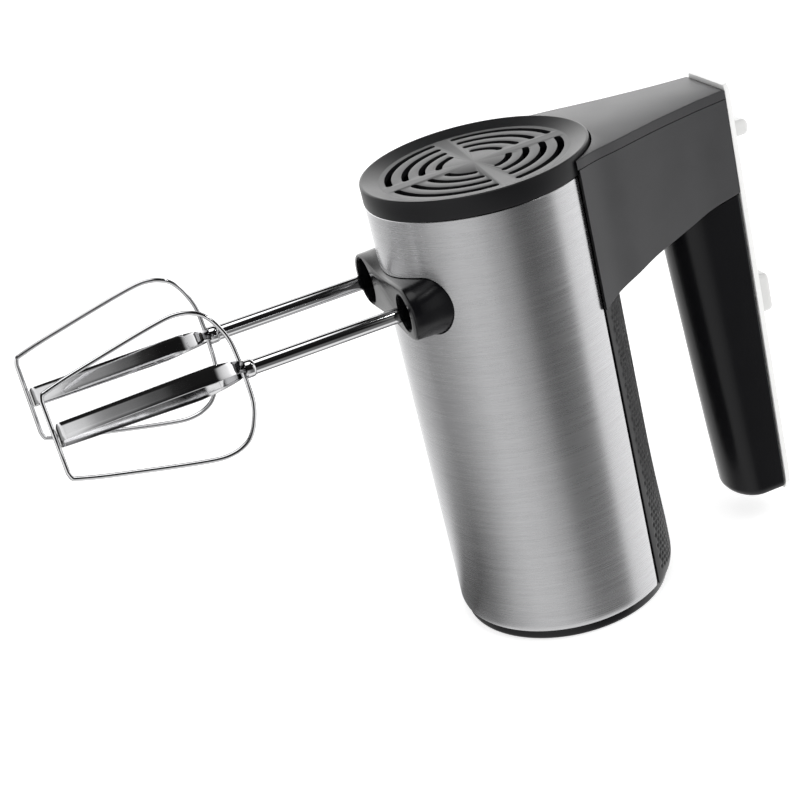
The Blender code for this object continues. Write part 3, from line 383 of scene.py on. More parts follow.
def raised(name, size, corners, sections, pivot=(0.0, 0.0)):
    """A rounded plate raised section by section.

    size is the plate's low and high corner in plan, and corners its radius at the low-x and high-x ends. Each
    section is (height, width along x, width along y), the widths as shares of the plate's about the pivot.
    """
    (x0, y0), (x1, y1) = size
    deselect_all()
    middle = Vector((x0 + x1, y0 + y1, 0.0)) / 2 * MM
    bpy.ops.mesh.primitive_plane_add(size=1.0, location=middle)
    obj = fresh(name)
    obj.scale = ((x1 - x0) * MM, (y1 - y0) * MM, 1.0)
    settle(obj)
    edit(obj)
    for radius, end in zip(corners, (x0 * MM, x1 * MM)):
        pick("VERT", lambda v: abs(v.co.x - end) < 1e-7)
        bpy.ops.mesh.bevel(offset=radius * MM, offset_type="OFFSET", segments=10, affect="VERTICES")
    bpy.ops.mesh.select_all(action="SELECT")
    height, wide, deep = sections[0]
    at = (pivot[0] * MM, pivot[1] * MM, 0.0)
    bpy.ops.transform.translate(value=(0.0, 0.0, height * MM))
    bpy.ops.transform.resize(value=(wide, deep, 1.0), center_override=at)
    for upper, x_share, y_share in sections[1:]:
        rise = (0.0, 0.0, (upper - height) * MM)
        bpy.ops.mesh.extrude_region_move(TRANSFORM_OT_translate={"value": rise})
        bpy.ops.transform.resize(value=(x_share / wide, y_share / deep, 1.0), center_override=at)
        height, wide, deep = upper, x_share, y_share
    close_mesh()
    return obj


def tube_along(name, points, radius, sides=6):
    """A round wire along points, made from a curve with a bevel and closed ends."""
    deselect_all()
    bpy.ops.curve.primitive_bezier_curve_add()
    obj = fresh(name)
    curve = obj.data
    curve.splines.clear()
    spline = curve.splines.new("POLY")
    spline.points.add(len(points) - 1)
    for place, point in zip(spline.points, points):
        place.co = (*(Vector(point) * MM), 1.0)
    curve.bevel_depth = radius * MM
    curve.bevel_resolution = sides
    curve.use_fill_caps = True
    curve.twist_mode = "MINIMUM"
    select_only(obj)
    bpy.ops.object.convert(target="MESH")
    return obj


def eased(height, depth, steps):
    """The (height, inset) points of a quarter round that starts flat and ends upright."""
    turns = [math.pi / 2 * i / steps for i in range(steps + 1)]
    return [(height * (1 - math.cos(turn)), depth * (1 - math.sin(turn))) for turn in turns]


def give_finish(obj, slot):
    """Replaces a piece's materials with one finish."""
    obj.data.materials.clear()
    obj.data.materials.append(bpy.data.materials[FINISH_NAMES[slot]])


def stand_for(piece, node, body, slot, angle=35.0, look=None):
    """Shades and finishes a piece, hangs it on the empty of the body it rides on and hides the node it
    replaces.
    """
    settle(piece)
    bpy.ops.object.shade_smooth_by_angle(angle=math.radians(angle))
    give_finish(piece, look or slot)
    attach(piece, body)
    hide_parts(node)


def quarter_round(share):
    """Height of a quarter round, from 0 to 1, at a share of its run."""
    return math.sqrt(max(0.0, 1 - (1 - share) ** 2))


@functools.cache
def bridge_row(x):
    """Half width and underside of the bridge at a distance along it, found by halving."""
    low = 0.0
    high = len(BRIDGE_ROWS) - 1.0
    for _ in range(40):
        middle = (low + high) / 2
        if point_of(BRIDGE_ROWS, middle).x > x:
            low = middle
        else:
            high = middle
    row = point_of(BRIDGE_ROWS, low)
    return row.y, row.z


# ---------------------------------------------------------------- finishes


class Flow:
    """A value in a material's node tree, which takes part in ordinary arithmetic."""

    def __init__(self, bench, socket):
        self.bench = bench
        self.socket = socket

    def math(self, operation, first, second):
        return self.bench.maths(operation, first, second)

    def __add__(self, other):
        return self.math("ADD", self, other)

    __radd__ = __add__

    def __sub__(self, other):
        return self.math("SUBTRACT", self, other)

    def __rsub__(self, other):
        return self.math("SUBTRACT", other, self)

    def __mul__(self, other):
        return self.math("MULTIPLY", self, other)

    __rmul__ = __mul__

    def __truediv__(self, other):
        return self.math("DIVIDE", self, other)

    def __rtruediv__(self, other):
        return self.math("DIVIDE", other, self)


class Bench:
    """Builds one finish, starting from a Principled shader with its constants set."""

    def __init__(self, name, colour, **constants):
        self.material = bpy.data.materials.new(name)
        self.material.use_nodes = True
        self.tree = self.material.node_tree
        self.shader = self.tree.nodes["Principled BSDF"]
        self.set("Base Color", (*colour, 1.0))
        for key, value in constants.items():
            self.set(key.replace("_", " "), value)
        self.material.diffuse_color = (*colour, 1.0)

    def set(self, name, value):
        """Gives one of the shader's sockets a value or a link."""
        self.feed(self.shader.inputs[name], value)

    def feed(self, socket, value):
        if isinstance(value, Flow):
            self.tree.links.new(value.socket, socket)
        elif value is not None:
            socket.default_value = value

    def node(self, kind, settings, *values, output=0, **named):
        """Adds a node, sets it, then gives its sockets values or links in order or by name."""
        made = self.tree.nodes.new(kind)
        for key, value in settings.items():
            if key == "stops":
                set_stops(made.color_ramp.elements, value)
            else:
                setattr(made, key, value)
        for key, value in (*enumerate(values), *named.items()):
            self.feed(made.inputs[key], value)
        return Flow(self, made.outputs[output])

    def maths(self, operation, *values):
        return self.node("ShaderNodeMath", {"operation": operation}, *values)

    def split(self, where):
        """The three coordinates of a place, one flow each."""
        return [self.node("ShaderNodeSeparateXYZ", {}, where, output=axis) for axis in range(3)]

    def place(self, scale=(1.0, 1.0, 1.0), turn=(0.0, 0.0, 0.0), shift=(0.0, 0.0, 0.0)):
        """Object coordinates, scaled, turned and shifted."""
        coordinates = self.node("ShaderNodeTexCoord", {}, output=3)
        return self.node("ShaderNodeMapping", {}, coordinates, Location=shift, Rotation=turn, Scale=scale)

    def noise(self, where, scale, detail=3.0, roughness=0.55):
        """A soft random level from 0 to 1."""
        grain = {"Vector": where, "Scale": scale, "Detail": detail, "Roughness": roughness}
        return self.node("ShaderNodeTexNoise", {}, **grain)

    def ramp(self, value, low, high):
        """A value stretched so that low becomes 0 and high becomes 1."""
        return self.node("ShaderNodeMapRange", {"clamp": True}, value, low, high, 0.0, 1.0)

    def tint(self, share, first, second):
        """A colour between two, by a share."""
        # A Mix node's sockets 1 to 5 are for numbers and vectors, and its colours are 6 and 7.
        skipped = (None,) * 5
        colours = ((*first, 1.0), (*second, 1.0))
        return self.node("ShaderNodeMix", {"data_type": "RGBA"}, share, *skipped, *colours, output=2)

    def bump(self, height, strength, distance):
        """Raises the surface by a height from 0 to 1 over a distance."""
        self.set("Normal", self.node("ShaderNodeBump", {}, strength, distance, Height=height))


def set_stops(elements, stops):
    """Gives a colour ramp grey stops, as (position, level)."""
    for element, (position, level) in zip(elements, (stops[0], stops[-1])):
        element.position = position
        element.color = (level, level, level, 1.0)
    for position, level in stops[1:-1]:
        elements.new(position).color = (level, level, level, 1.0)


def scaled(colour, share):
    """A colour made lighter or darker."""
    return tuple(min(1.0, channel * share) for channel in colour)


# The finish that each material slot takes; the last three are looks for pieces with another slot, and the last
# two of them are painted shade: darker copies of the black and the white plastic.
FINISH_NAMES = {
    "brushed_steel": "barrel_brushed_steel",
    "black_plastic": "glossy_black_plastic",
    "grey_cap": "satin_cap_plastic",
    "soft_black": "soft_grip_rubber",
    "white_plastic": "white_moulded_plastic",
    "chrome": "chromed_wire",
    "machine_steel": "machined_steel",
    "spring_steel": "drawn_spring_steel",
    "copper": "enamelled_copper",
    "laminations": "stacked_laminations",
    "bronze": "sintered_bronze",
    "nylon": "natural_nylon",
    "carbon": "pressed_carbon",
    "bridge_plastic": "satin_bridge_plastic",
    "painted_seam_shade": "matt_painted_seam_shade",
    "painted_shade_white": "painted_shade_white_plastic",
}


def brushed_steel(slot, colour):
    """Steel brushed round the barrel: long fine level scratches."""
    bench = Bench(FINISH_NAMES[slot], colour, Metallic=1.0, Anisotropic=0.75, Anisotropic_Rotation=0.25)
    fine = bench.noise(bench.place((150.0, 150.0, 5200.0)), 1.0, 4.0, 0.7)
    broad = bench.noise(bench.place((40.0, 40.0, 1500.0)), 1.0, 4.0, 0.6)
    cloud = bench.noise(bench.place((1.0, 1.0, 0.3)), 34.0, 3.0)
    scratch = bench.ramp(fine * 0.6 + broad * 0.4, 0.3, 0.7)
    bench.set("Base Color", bench.tint(scratch, scaled(colour, 0.84), scaled(colour, 1.1)))
    bench.set("Roughness", 0.16 + 0.14 * broad + 0.08 * cloud)
    bench.bump(fine * 0.7 + broad * 0.3, 0.15, 0.04 * MM)
    return bench.material


def plastic(slot, colour, roughness, grain, mottle=0.12, shine=0.5):
    """Moulded plastic: a fine grain and soft flow marks."""
    bench = Bench(FINISH_NAMES[slot], colour, Specular_IOR_Level=shine)
    flow = bench.noise(bench.place(), 60.0, 4.0)
    pores = bench.noise(bench.place(), 3200.0, 2.0, 0.5)
    bench.set("Base Color", bench.tint(flow, scaled(colour, 1.0 - mottle), scaled(colour, 1.0 + mottle)))
    bench.set("Roughness", roughness - 0.04 + 0.08 * flow)
    bench.bump(pores, grain, 0.05 * MM)
    return bench.material


def metal(slot, colour, roughness, grain, rim=1.0):
    """Bright metal with faint drawing marks and handling haze; rim tints what is seen edge on, and below 1 it
    darkens the outlines, a painted shade.
    """
    bench = Bench(FINISH_NAMES[slot], colour, Metallic=1.0, Specular_Tint=(rim, rim, rim, 1.0))
    haze = bench.noise(bench.place(), 90.0, 3.0)
    marks = bench.noise(bench.place((60.0, 900.0, 900.0)), 1.0, 3.0)
    bench.set("Base Color", bench.tint(marks, scaled(colour, 0.93), scaled(colour, 1.03)))
    bench.set("Roughness", roughness + 0.06 * haze)
    bench.bump(marks, grain, 0.02 * MM)
    return bench.material


def stacked_sheet(slot, colour, sheet=0.5 * MM):
    """Thin steel sheets stacked along the motor's axis."""
    bench = Bench(FINISH_NAMES[slot], colour, Metallic=1.0)
    height = bench.split(bench.place())[2]
    lines = bench.maths("SINE", height * (2 * math.pi / sheet))
    bench.set("Base Color", bench.tint(lines * 0.5 + 0.5, scaled(colour, 0.6), scaled(colour, 1.2)))
    bench.set("Roughness", 0.45 + 0.1 * lines)
    bench.bump(lines, 0.3, 0.05 * MM)
    return bench.material


def wound_copper(slot, colour, wire=0.6 * MM):
    """Enamelled wire laid in close turns."""
    bench = Bench(FINISH_NAMES[slot], colour, Metallic=1.0, Coat_Weight=0.4, Coat_Roughness=0.15)
    height = bench.split(bench.place())[2]
    wander = bench.noise(bench.place(), 160.0, 2.0)
    turns = bench.maths("SINE", height * (2 * math.pi / wire) + wander * 4.0)
    bench.set("Base Color", bench.tint(turns * 0.5 + 0.5, scaled(colour, 0.55), scaled(colour, 1.15)))
    bench.set("Roughness", 0.3 + 0.1 * wander)
    bench.bump(turns, 0.5, 0.1 * MM)
    return bench.material


def make_finishes(colours):
    """One finish for each name in the table above."""
    black = tuple(colours.black)
    white = tuple(colours.white)
    brushed_steel("brushed_steel", tuple(colours.steel))
    plastic("black_plastic", black, 0.24, 0.05, shine=0.32)
    plastic("bridge_plastic", tuple(colours.bridge), 0.42, 0.16, mottle=0.2, shine=0.4)
    plastic("grey_cap", tuple(colours.grey), 0.36, 0.16, shine=0.22)
    plastic("soft_black", tuple(colours.rubber), 0.44, 0.20, shine=0.6)
    plastic("white_plastic", white, 0.28, 0.05, mottle=0.03)
    # Painted shade: the controls take the white plastic darkened to 80 percent, so that they read shaded
    # against the cover.
    plastic("painted_shade_white", scaled(white, 0.80), 0.30, 0.05, mottle=0.03)
    # Painted shade: half the black plastic's colour with little shine, for the inner barrel seen in the seams.
    plastic("painted_seam_shade", scaled(black, 0.5), 0.75, 0.1, shine=0.06)
    # Painted shade: a rim of 0 turns the chrome's edge-on reflection black, which darkens the outlines of
    # stems, wires and strips.
    metal("chrome", (0.80, 0.80, 0.81), 0.05, 0.05, rim=0.0)
    metal("machine_steel", (0.42, 0.42, 0.43), 0.30, 0.3)
    metal("spring_steel", (0.50, 0.50, 0.52), 0.22, 0.2)
    metal("bronze", (0.55, 0.38, 0.18), 0.40, 0.6)
    wound_copper("copper", (0.72, 0.33, 0.16))
    stacked_sheet("laminations", (0.20, 0.20, 0.21))
    plastic("nylon", (0.60, 0.57, 0.50), 0.45, 0.15, mottle=0.05)
    plastic("carbon", (0.02, 0.02, 0.02), 0.75, 0.5)


# Nodes that take another look than their slot's: the inner barrel shows only as the dark floor of the seams,
# so its look is painted shade, a half-dark matt black that keeps the seams black.
NODE_LOOKS = {"motor_housing": "painted_seam_shade"}


# ---------------------------------------------------------------- one operator for each group of pieces


class MIXER_OT_finishes(bpy.types.Operator):
    """Make every finish and give the mechanism's own pieces theirs"""

    bl_idname = "mixer.finishes"
    bl_label = "Finishes"

    def execute(self, context):
        make_finishes(context.scene.mixer_colours)
        slots = {row["node"]: row["material_slot"] for row in frame["record"]["subparts"]}
        for name, obj in frame["nodes"].items():
            give_finish(obj, NODE_LOOKS.get(name, slots[name]))
        return {"FINISHED"}


class MIXER_OT_barrel(bpy.types.Operator):
    """Turn the base and the steel sleeve, and cut the sleeve's window for the nose"""

    bl_idname = "mixer.barrel"
    bl_label = "Barrel"

    def execute(self, context):
        self.base()
        self.sleeve(context.scene.mixer_sizes.sleeve_edge / MM)
        return {"FINISHED"}

    @staticmethod
    def base():
        """The foot, with a ring groove under it and four sunk screw holes."""
        outer = BASE_HIGH.x
        top = BASE_HIGH.z
        groove = [(26.6, 0.0), (27.2, 0.2), (27.7, 0.7), (28.3, 0.7), (28.8, 0.2), (29.4, 0.0)]
        edge = [(outer - 1.3, 0.0), (outer - 0.8, 0.1), (outer - 0.35, 0.4), (outer - 0.1, 0.8), (outer, 1.3)]
        profile = [(0.0, 0.0), *groove, *edge, (outer, top - 0.3), (outer - 0.3, top), (0.0, top)]
        base = turned("round_base", profile)
        boxes = [box_of("base_screw_%d" % number) for number in (1, 2, 3, 4)]
        places = [(low + high) / 2 for low, high in boxes]
        sinks = [rod("sink", 3.3, -1.0, 2.1, at.x, at.y) for at in places]
        holes = [rod("hole", 1.8, -2.0, 10.0, at.x, at.y) for at in places]
        shape_with(base, "DIFFERENCE", merged("sinks", sinks), merged("holes", holes))
        stand_for(base, "base_plate", "mixer_body", "black_plastic")

    @staticmethod
    def sleeve(roll):
        """The steel, open at the rear, with its lower edge rolled in."""
        low = SLEEVE_LOW.z
        high = SLEEVE_HIGH.z
        inner = BARREL_R - SHEET
        profile = [(inner - roll * 0.6, low + 0.1), (BARREL_R - roll - 0.15, low)]
        profile += [(BARREL_R - inset, low + 0.25 + up) for up, inset in eased(3.2, roll, 6)]
        profile += [(BARREL_R, high - 0.25), (BARREL_R - 0.12, high - 0.06), (BARREL_R - 0.3, high)]
        profile.append((inner, high))
        half = 180.0 - SEAM_DEG
        sleeve = turned("brushed_sleeve", profile, 180, -half, 2 * half, closed=True)
        shape_with(sleeve, "DIFFERENCE", nose_body("sleeve_window", 0.35))
        stand_for(sleeve, "steel_sleeve", "mixer_body", "brushed_steel", 30.0)


def grip_top(x):
    """Height of the grip's upper edge, just under the bridge."""
    return bridge_row(x)[1] - 0.35


def grip_swell(z, low, side):
    """How far the grip stands out: a swell low down, rolled in at its foot and at its two sides."""
    foot = min(1.0, (z - low) / 7.0)
    swell = 1.15 * math.exp(-((z - 13.0) / 26.0) ** 2) + 0.25
    edge = 0.3 * (1 - min(1.0, side * 2.0)) ** 2
    return (swell * quarter_round(foot) - 0.5 * (1 - foot) ** 2) * side - edge


def dimple_at(turn, rise):
    """Depth, as a share, of the staggered dimples at an angle and a height up the grip."""
    row = (rise - 5.0) / 2.4
    column = turn * BARREL_R / 2.3 + 0.5 * (math.floor(row) % 2)
    u = (column - math.floor(column) - 0.5) / 0.36
    v = (row - math.floor(row) - 0.5) / 0.42
    inside = 1.0 - u * u - v * v
    return min(1.0, max(0.0, inside * 1.4)) if row > 0.0 else 0.0


class MIXER_OT_grip(bpy.types.Operator):
    """Spin the rear grip and press its staggered dimples"""

    bl_idname = "mixer.grip"
    bl_label = "Rear grip"

    def execute(self, context):
        depth = context.scene.mixer_sizes.dimple_depth / MM
        rows = 190
        low = SLEEVE_LOW.z
        high = 128.0
        inner = BARREL_R - 0.75
        profile = [(inner, low + (high - low) * i / 8) for i in reversed(range(9))]
        profile += [(BARREL_R, low + (high - low) * i / rows) for i in range(rows + 1)]
        half = SEAM_DEG - GRIP_SEAM_DEG
        grip = turned("dimpled_grip", profile, 150, 180.0 - half, 2 * half, closed=True)
        for vertex in grip.data.vertices:
            vertex.co = self.pressed(vertex.co / MM, low, high, half, depth) * MM
        stand_for(grip, "rear_grip", "mixer_body", "soft_black", 50.0)
        return {"FINISHED"}

    @staticmethod
    def pressed(at, low, high, half, depth):
        """Where a point of the plain grip goes: up to the bridge, out with the swell, and in at a dimple."""
        radius = math.hypot(at.x, at.y)
        turn = math.atan2(at.y, -at.x)
        top = grip_top(at.x)
        z = low + (at.z - low) / (high - low) * (top - low)
        if radius > BARREL_R - 0.4:
            side = min(1.0, (math.radians(half) - abs(turn)) / math.radians(14.0))
            radius += grip_swell(z, low, side)
            if z < top - 3.0 and side > 0.25:
                radius -= depth * dimple_at(turn, z - low)
        return Vector((-radius * math.cos(turn), radius * math.sin(turn), z))


class MIXER_OT_vent_cap(bpy.types.Operator):
    """Turn the cap and cut its rings of curved slots"""

    bl_idname = "mixer.vent_cap"
    bl_label = "Vent cap"

    def execute(self, context):
        sizes = context.scene.mixer_sizes
        sunk = CAP_HIGH.z - 1.9
        cap = turned("slotted_cap", self.profile(sunk), 180)
        width = sizes.slot_width / MM
        radii = [13.3 + 6.55 * ring for ring in range(sizes.slot_rings)]
        cutters = [self.slot_cutter(radius, quarter, width, sunk) for radius in radii for quarter in range(4)]
        shape_with(cap, "DIFFERENCE", merged("slots", cutters))
        self.ease_slots(cap, sunk)
        stand_for(cap, "vent_cap", "mixer_body", "grey_cap", 30.0)
        return {"FINISHED"}

    @staticmethod
    def profile(sunk):
        """The cap's half section: its sunk face, rounded rim and skirt."""
        outer = CAP_HIGH.x
        top = CAP_HIGH.z
        rim = SLEEVE_HIGH.z + GAP
        flat = outer - 6.9
        skirt = BARREL_R - 3.6
        face = [(0.0, sunk), (flat - 0.4, sunk), (flat, sunk + 0.08), (flat + 0.4, sunk + 0.25)]
        crest = [(outer - 1.5, top - 0.25), (outer - 1.1, top - 0.08), (outer - 0.75, top)]
        side = [(outer - 0.4, top - 0.08), (outer - 0.12, top - 0.3), (outer, top - 0.7), (outer, rim + 0.4)]
        under = [(outer - 0.15, rim), (skirt, rim), (skirt, rim - 2.4), (skirt - 1.4, rim - 2.4)]
        return [*face, *crest, *side, *under, (skirt - 1.4, sunk - 2.4), (0.0, sunk - 2.4)]

    @staticmethod
    def slot_cutter(radius, quarter, width, sunk):
        """A round-ended cutter: the leading faces of a cylinder are spun round the cap's axis."""
        gap = math.asin((3.3 + width / 2) / radius)
        sweep = math.pi / 2 - 2 * gap
        steps = max(6, int(radius * sweep / 1.2))
        cutter = rod("slot", width / 2, sunk - 8.0, sunk + 4.0, radius, 0.0, 24)
        edit(cutter)
        pick("FACE", lambda f: f.normal.y > 0.01 and abs(f.normal.z) < 0.5)
        bpy.ops.mesh.spin(steps=steps, angle=-sweep, center=(0, 0, 0), axis=(0, 0, 1))
        close_mesh()
        cutter.rotation_euler.z = math.pi / 2 * quarter + gap
        return settle(cutter)

    @staticmethod
    def ease_slots(cap, sunk):
        """Rounds the upper edge of every slot."""
        edit(cap)

        def is_rim(edge):
            on_top = all(abs(v.co.z - sunk * MM) < 0.01 * MM for v in edge.verts)
            walls = [f for f in edge.link_faces if abs(f.normal.z) < 0.2]
            return on_top and len(walls) == 1

        pick("EDGE", is_rim)
        bpy.ops.mesh.bevel(offset=0.35 * MM, segments=3, affect="EDGES", clamp_overlap=True)
        bpy.ops.object.mode_set(mode="OBJECT")


def bridge_block(name, floor, high, front, inset=0.0, rear=REAR_X, stations=36):
    """A box cut across at each station, then widened and lowered to the bridge's shape.

    floor is the height of its underside, or None for the bridge's own.
    """
    body = block(name, (rear, -1.0, 0.0), (front, 1.0, high))
    edit(body)
    places = [rear + (front - rear) * i / stations for i in range(stations + 1)]
    for x in places[1:-1]:
        bpy.ops.mesh.select_all(action="SELECT")
        bpy.ops.mesh.bisect(plane_co=(x * MM, 0, 0), plane_no=(1, 0, 0))
    for x in places:
        half, under = bridge_row(x)
        lift = under if floor is None else floor
        pick("VERT", lambda v: abs(v.co.x - x * MM) < 1e-6)
        bpy.ops.transform.resize(value=(1.0, half - inset, 1.0), center_override=(x * MM, 0.0, 0.0))
        pick("VERT", lambda v: abs(v.co.x - x * MM) < 1e-6 and v.co.z < 1e-6)
        bpy.ops.transform.translate(value=(0.0, 0.0, lift * MM))
    bpy.ops.object.mode_set(mode="OBJECT")
    return body


def round_edges(obj, test, width, **settings):
    """Bevels the edges of a piece that pass a test, each with its faces' angle and its ends in millimetres."""
    edit(obj)
    pick("EDGE", lambda e: len(e.link_faces) == 2 and test(e.calc_face_angle(), *(v.co / MM for v in e.verts)))
    bpy.ops.mesh.bevel(offset=width * MM, segments=4, affect="EDGES", clamp_overlap=True, **settings)
    bpy.ops.object.mode_set(mode="OBJECT")


class MIXER_OT_bridge(bpy.types.Operator):
    """Shape the bridge and its chamfered lid, and fit both round the barrel"""

    bl_idname = "mixer.bridge"
    bl_label = "Bridge and lid"

    def execute(self, context):
        self.body()
        self.lid(context.scene.mixer_sizes.lid_chamfer / MM)
        return {"FINISHED"}

    @staticmethod
    def body():
        """The hollow bridge, with its two long lower edges rounded."""
        wall = 2.2
        top = LID_LOW.z - GAP
        body = bridge_block("bridge_body", None, top, BRIDGE_FRONT)

        def is_lower(angle, a, b):
            return angle > math.radians(60.0) and max(a.z, b.z) < 150.0 and abs(a.x - b.x) > 0.1

        round_edges(body, is_lower, 0.7)
        hollow = bridge_block("bridge_hollow", None, top + 5.0, BRIDGE_FRONT + 6.0, wall, REAR_X - 4.0, 12)
        hollow.location.z = wall * MM
        settle(hollow)
        barrel = rod("barrel_way", BARREL_R - SHEET, 100.0, 200.0, vertices=180)
        rim = rod("rim_way", CAP_HIGH.x + 0.45, SLEEVE_HIGH.z, 200.0, vertices=180)
        shape_with(body, "DIFFERENCE", hollow, barrel, rim)
        stand_for(body, "bridge_shell", "mixer_body", "black_plastic", 30.0, "bridge_plastic")

    @staticmethod
    def lid(chamfer):
        """The lid, chamfered round its top apart from the edge that the cap hides."""
        front = BRIDGE_FRONT + 0.7
        top = LID_HIGH.z
        lid = bridge_block("bridge_cover_lid", LID_LOW.z, top, front)

        def is_upper(angle, a, b):
            return angle > math.radians(45.0) and min(a.z, b.z) > top - 0.05 and min(a.x, b.x) < front - 0.1

        round_edges(lid, is_upper, chamfer, profile=0.45)
        shape_with(lid, "DIFFERENCE", rod("lid_rim_way", CAP_HIGH.x + 0.75, 150.0, 220.0, vertices=180))
        stand_for(lid, "bridge_lid", "mixer_body", "grey_cap", 25.0, "bridge_plastic")


class MIXER_OT_handle(bpy.types.Operator):
    """Raise the handle section by section and cut its top to the bridge"""

    bl_idname = "mixer.handle"
    bl_label = "Handle"

    def execute(self, context):
        half = HANDLE_HIGH.y
        low = HANDLE_LOW.z + 1.2
        plan = 28.3
        foot = 20.6
        sections = []
        for up, inset in eased(3.6, 3.0, 8):
            sections.append((low + up, (foot - inset) / plan, (half - inset * 0.5) / half))
        for height, front in ((40.0, -75.9), (70.0, -74.0), (112.0, -71.5), (127.0, -70.7), (150.0, -69.4)):
            sections.append((height, (front - REAR_X) / plan, 1.0))
        size = ((REAR_X, -half), (REAR_X + plan, half))
        handle = raised("handle_grip", size, (1.5, 13.6), sections, (REAR_X, 0.0))
        x, z = HANDLE_TOP
        slope = (BRIDGE_ROWS[-1][2] - z) / (REAR_X - x)
        edit(handle)
        bpy.ops.mesh.bisect(plane_co=(x * MM, 0.0, (z - GAP) * MM), plane_no=(-slope, 0.0, 1.0),
                            use_fill=True, clear_outer=True)
        close_mesh()
        stand_for(handle, "handle_shell", "mixer_body", "black_plastic", 40.0)
        return {"FINISHED"}


class MIXER_OT_back_cover(bpy.types.Operator):
    """Shape the white back cover with its ways for the button and slider"""

    bl_idname = "mixer.back_cover"
    bl_label = "Back cover"

    def execute(self, context):
        half = COVER_HIGH.y
        low = COVER_LOW.z
        high = COVER_HIGH.z
        inner = COVER_HIGH.x
        cover = block("white_back_cover", (inner - 1.6, -half, low), (inner, half, high))
        edit(cover)
        for i in range(1, 16):
            self.cut(1, -half + 2 * half * i / 16)
            self.cut(2, low + (high - low) * i / 16)
        for z in (low + 1.2, low + 2.6, low + 4.6, high - 3.6, high - 2.0, high - 0.9):
            self.cut(2, z)
        bpy.ops.object.mode_set(mode="OBJECT")
        for vertex in cover.data.vertices:
            vertex.co = self.crowned(vertex.co / MM, half, low, high, inner) * MM
        shape_with(cover, "DIFFERENCE", self.slider_way(), self.button_way())
        soften(cover, 0.35, 2, 50.0)
        stand_for(cover, "back_cover", "mixer_body", "white_plastic")
        return {"FINISHED"}

    @staticmethod
    def cut(axis, at):
        """Cuts the plate across one axis at a place along it."""
        normal = Vector((0.0, 0.0, 0.0))
        normal[axis] = 1.0
        bpy.ops.mesh.select_all(action="SELECT")
        bpy.ops.mesh.bisect(plane_co=normal * at * MM, plane_no=normal)

    @staticmethod
    def crowned(at, half, low, high, inner):
        """Where a point of the flat plate goes: out over the crown, and in towards the foot and head."""
        depth = inner - COVER_LOW.x
        foot = min(1.0, (at.z - low) / 7.0)
        head = min(1.0, (high - at.z) / 4.0)
        across = 1 - 0.7 * abs(at.y / half) ** 2.4
        if at.x < inner - 0.8:
            rounding = quarter_round(foot) * (0.55 + 0.45 * quarter_round(head))
            at.x = inner - 0.6 - (depth - 0.6) * rounding * across
        at.y *= 1.0 - 0.2 * (1 - foot) ** 2.2 - 0.04 * (1 - head) ** 2
        return at

    @staticmethod
    def slider_way():
        """The slot that the slider's stem runs in."""
        middle = (SLIDER_LOW.z + SLIDER_HIGH.z) / 2
        low = (COVER_LOW.x - 9.0, -2.5, middle - 3.4)
        return block("slider_way", low, (COVER_HIGH.x + 9.0, 2.5, middle + SLIDER_TRAVEL + 3.4))

    @staticmethod
    def button_way():
        """The rounded hole that the button moves in."""
        hole = raised("button_way", button_face(0.35), (2.3, 2.3), ((0.0, 1.0, 1.0), (30.0, 1.0, 1.0)))
        return stood_at_back(hole, COVER_LOW.x - 9.0)


def button_face(grow=0.0):
    """Low and high corner of the eject button's face, as (height, width)."""
    tall = 3.2 + grow
    wide = 6.0 + grow
    return (BUTTON_Z - tall, -wide), (BUTTON_Z + tall, wide)


def stood_at_back(obj, x):
    """Stands a piece made on the floor plan up at the mixer's back: its x is height and its z runs to +X."""
    obj.matrix_world = Matrix((
        (0.0, 0.0, 1.0, x * MM),
        (0.0, 1.0, 0.0, 0.0),
        (1.0, 0.0, 0.0, 0.0),
        (0.0, 0.0, 0.0, 1.0),
    ))
    settle(obj)
    edit(obj)
    close_mesh()
    return obj


def control_knob(name, face, corner, ease, length, outer):
    """A control raised from its face, as (height, width) corners, with the face rounded by (depth, inset)."""
    low, high = face
    tall = (high[0] - low[0]) / 2
    wide = (high[1] - low[1]) / 2
    sections = [(out, (tall - inset) / tall, (wide - inset) / wide) for out, inset in eased(*ease, 6)]
    sections.append((length, 1.0, 1.0))
    knob = raised(name, face, (corner, corner), sections, (low[0] + tall, 0.0))
    return stood_at_back(knob, outer)


class MIXER_OT_controls(bpy.types.Operator):
    """Raise the eject button and the ribbed speed slider"""

    bl_idname = "mixer.controls"
    bl_label = "Button and slider"

    def execute(self, context):
        self.button()
        self.slider()
        return {"FINISHED"}

    @staticmethod
    def button():
        """The eject button, with the flange that keeps it in the cover."""
        outer = BUTTON_LOW.x
        inner = COVER_HIGH.x
        button = control_knob("eject_knob", button_face(), 2.0, (2.4, 2.2), inner - outer + 1.2, outer)
        flange = block("button_flange", (inner + 0.9, -7.6, 152.0), (inner + 2.4, 7.6, 171.5))
        shape_with(button, "UNION", flange)
        # Its look is the darkened white, painted shade.
        stand_for(button, "eject_button", "ejector", "white_plastic", look="painted_shade_white")

    @staticmethod
    def slider():
        """The slider's grooved knob, with its stem and foot behind the cover."""
        outer = SLIDER_LOW.x
        low = SLIDER_LOW.z
        high = SLIDER_HIGH.z
        middle = (low + high) / 2
        face = COVER_LOW.x - 0.9
        inner = COVER_HIGH.x
        knob = control_knob("speed_knob", ((low, -5.0), (high, 5.0)), 2.2, (1.8, 1.8), face - outer, outer)
        grooves = []
        for i in range(5):
            z = middle - 4.4 + 2.2 * i
            grooves.append(block("knob_groove", (outer - 2.0, -8.0, z - 0.35), (outer + 0.55, 8.0, z + 0.35)))
        shape_with(knob, "DIFFERENCE", merged("knob_grooves", grooves))
        stem = block("knob_stem", (face - 1.2, -2.1, middle - 3.0), (inner + 3.0, 2.1, middle + 3.0))
        foot = block("knob_foot", (inner + 1.6, -4.5, middle - 4.5), (inner + 3.0, 4.5, middle + 4.5))
        shape_with(knob, "UNION", stem, foot)
        soften(knob, 0.18, 2, 50.0)
        # Its look is the darkened white, painted shade.
        stand_for(knob, "speed_slider", "slider", "white_plastic", look="painted_shade_white")


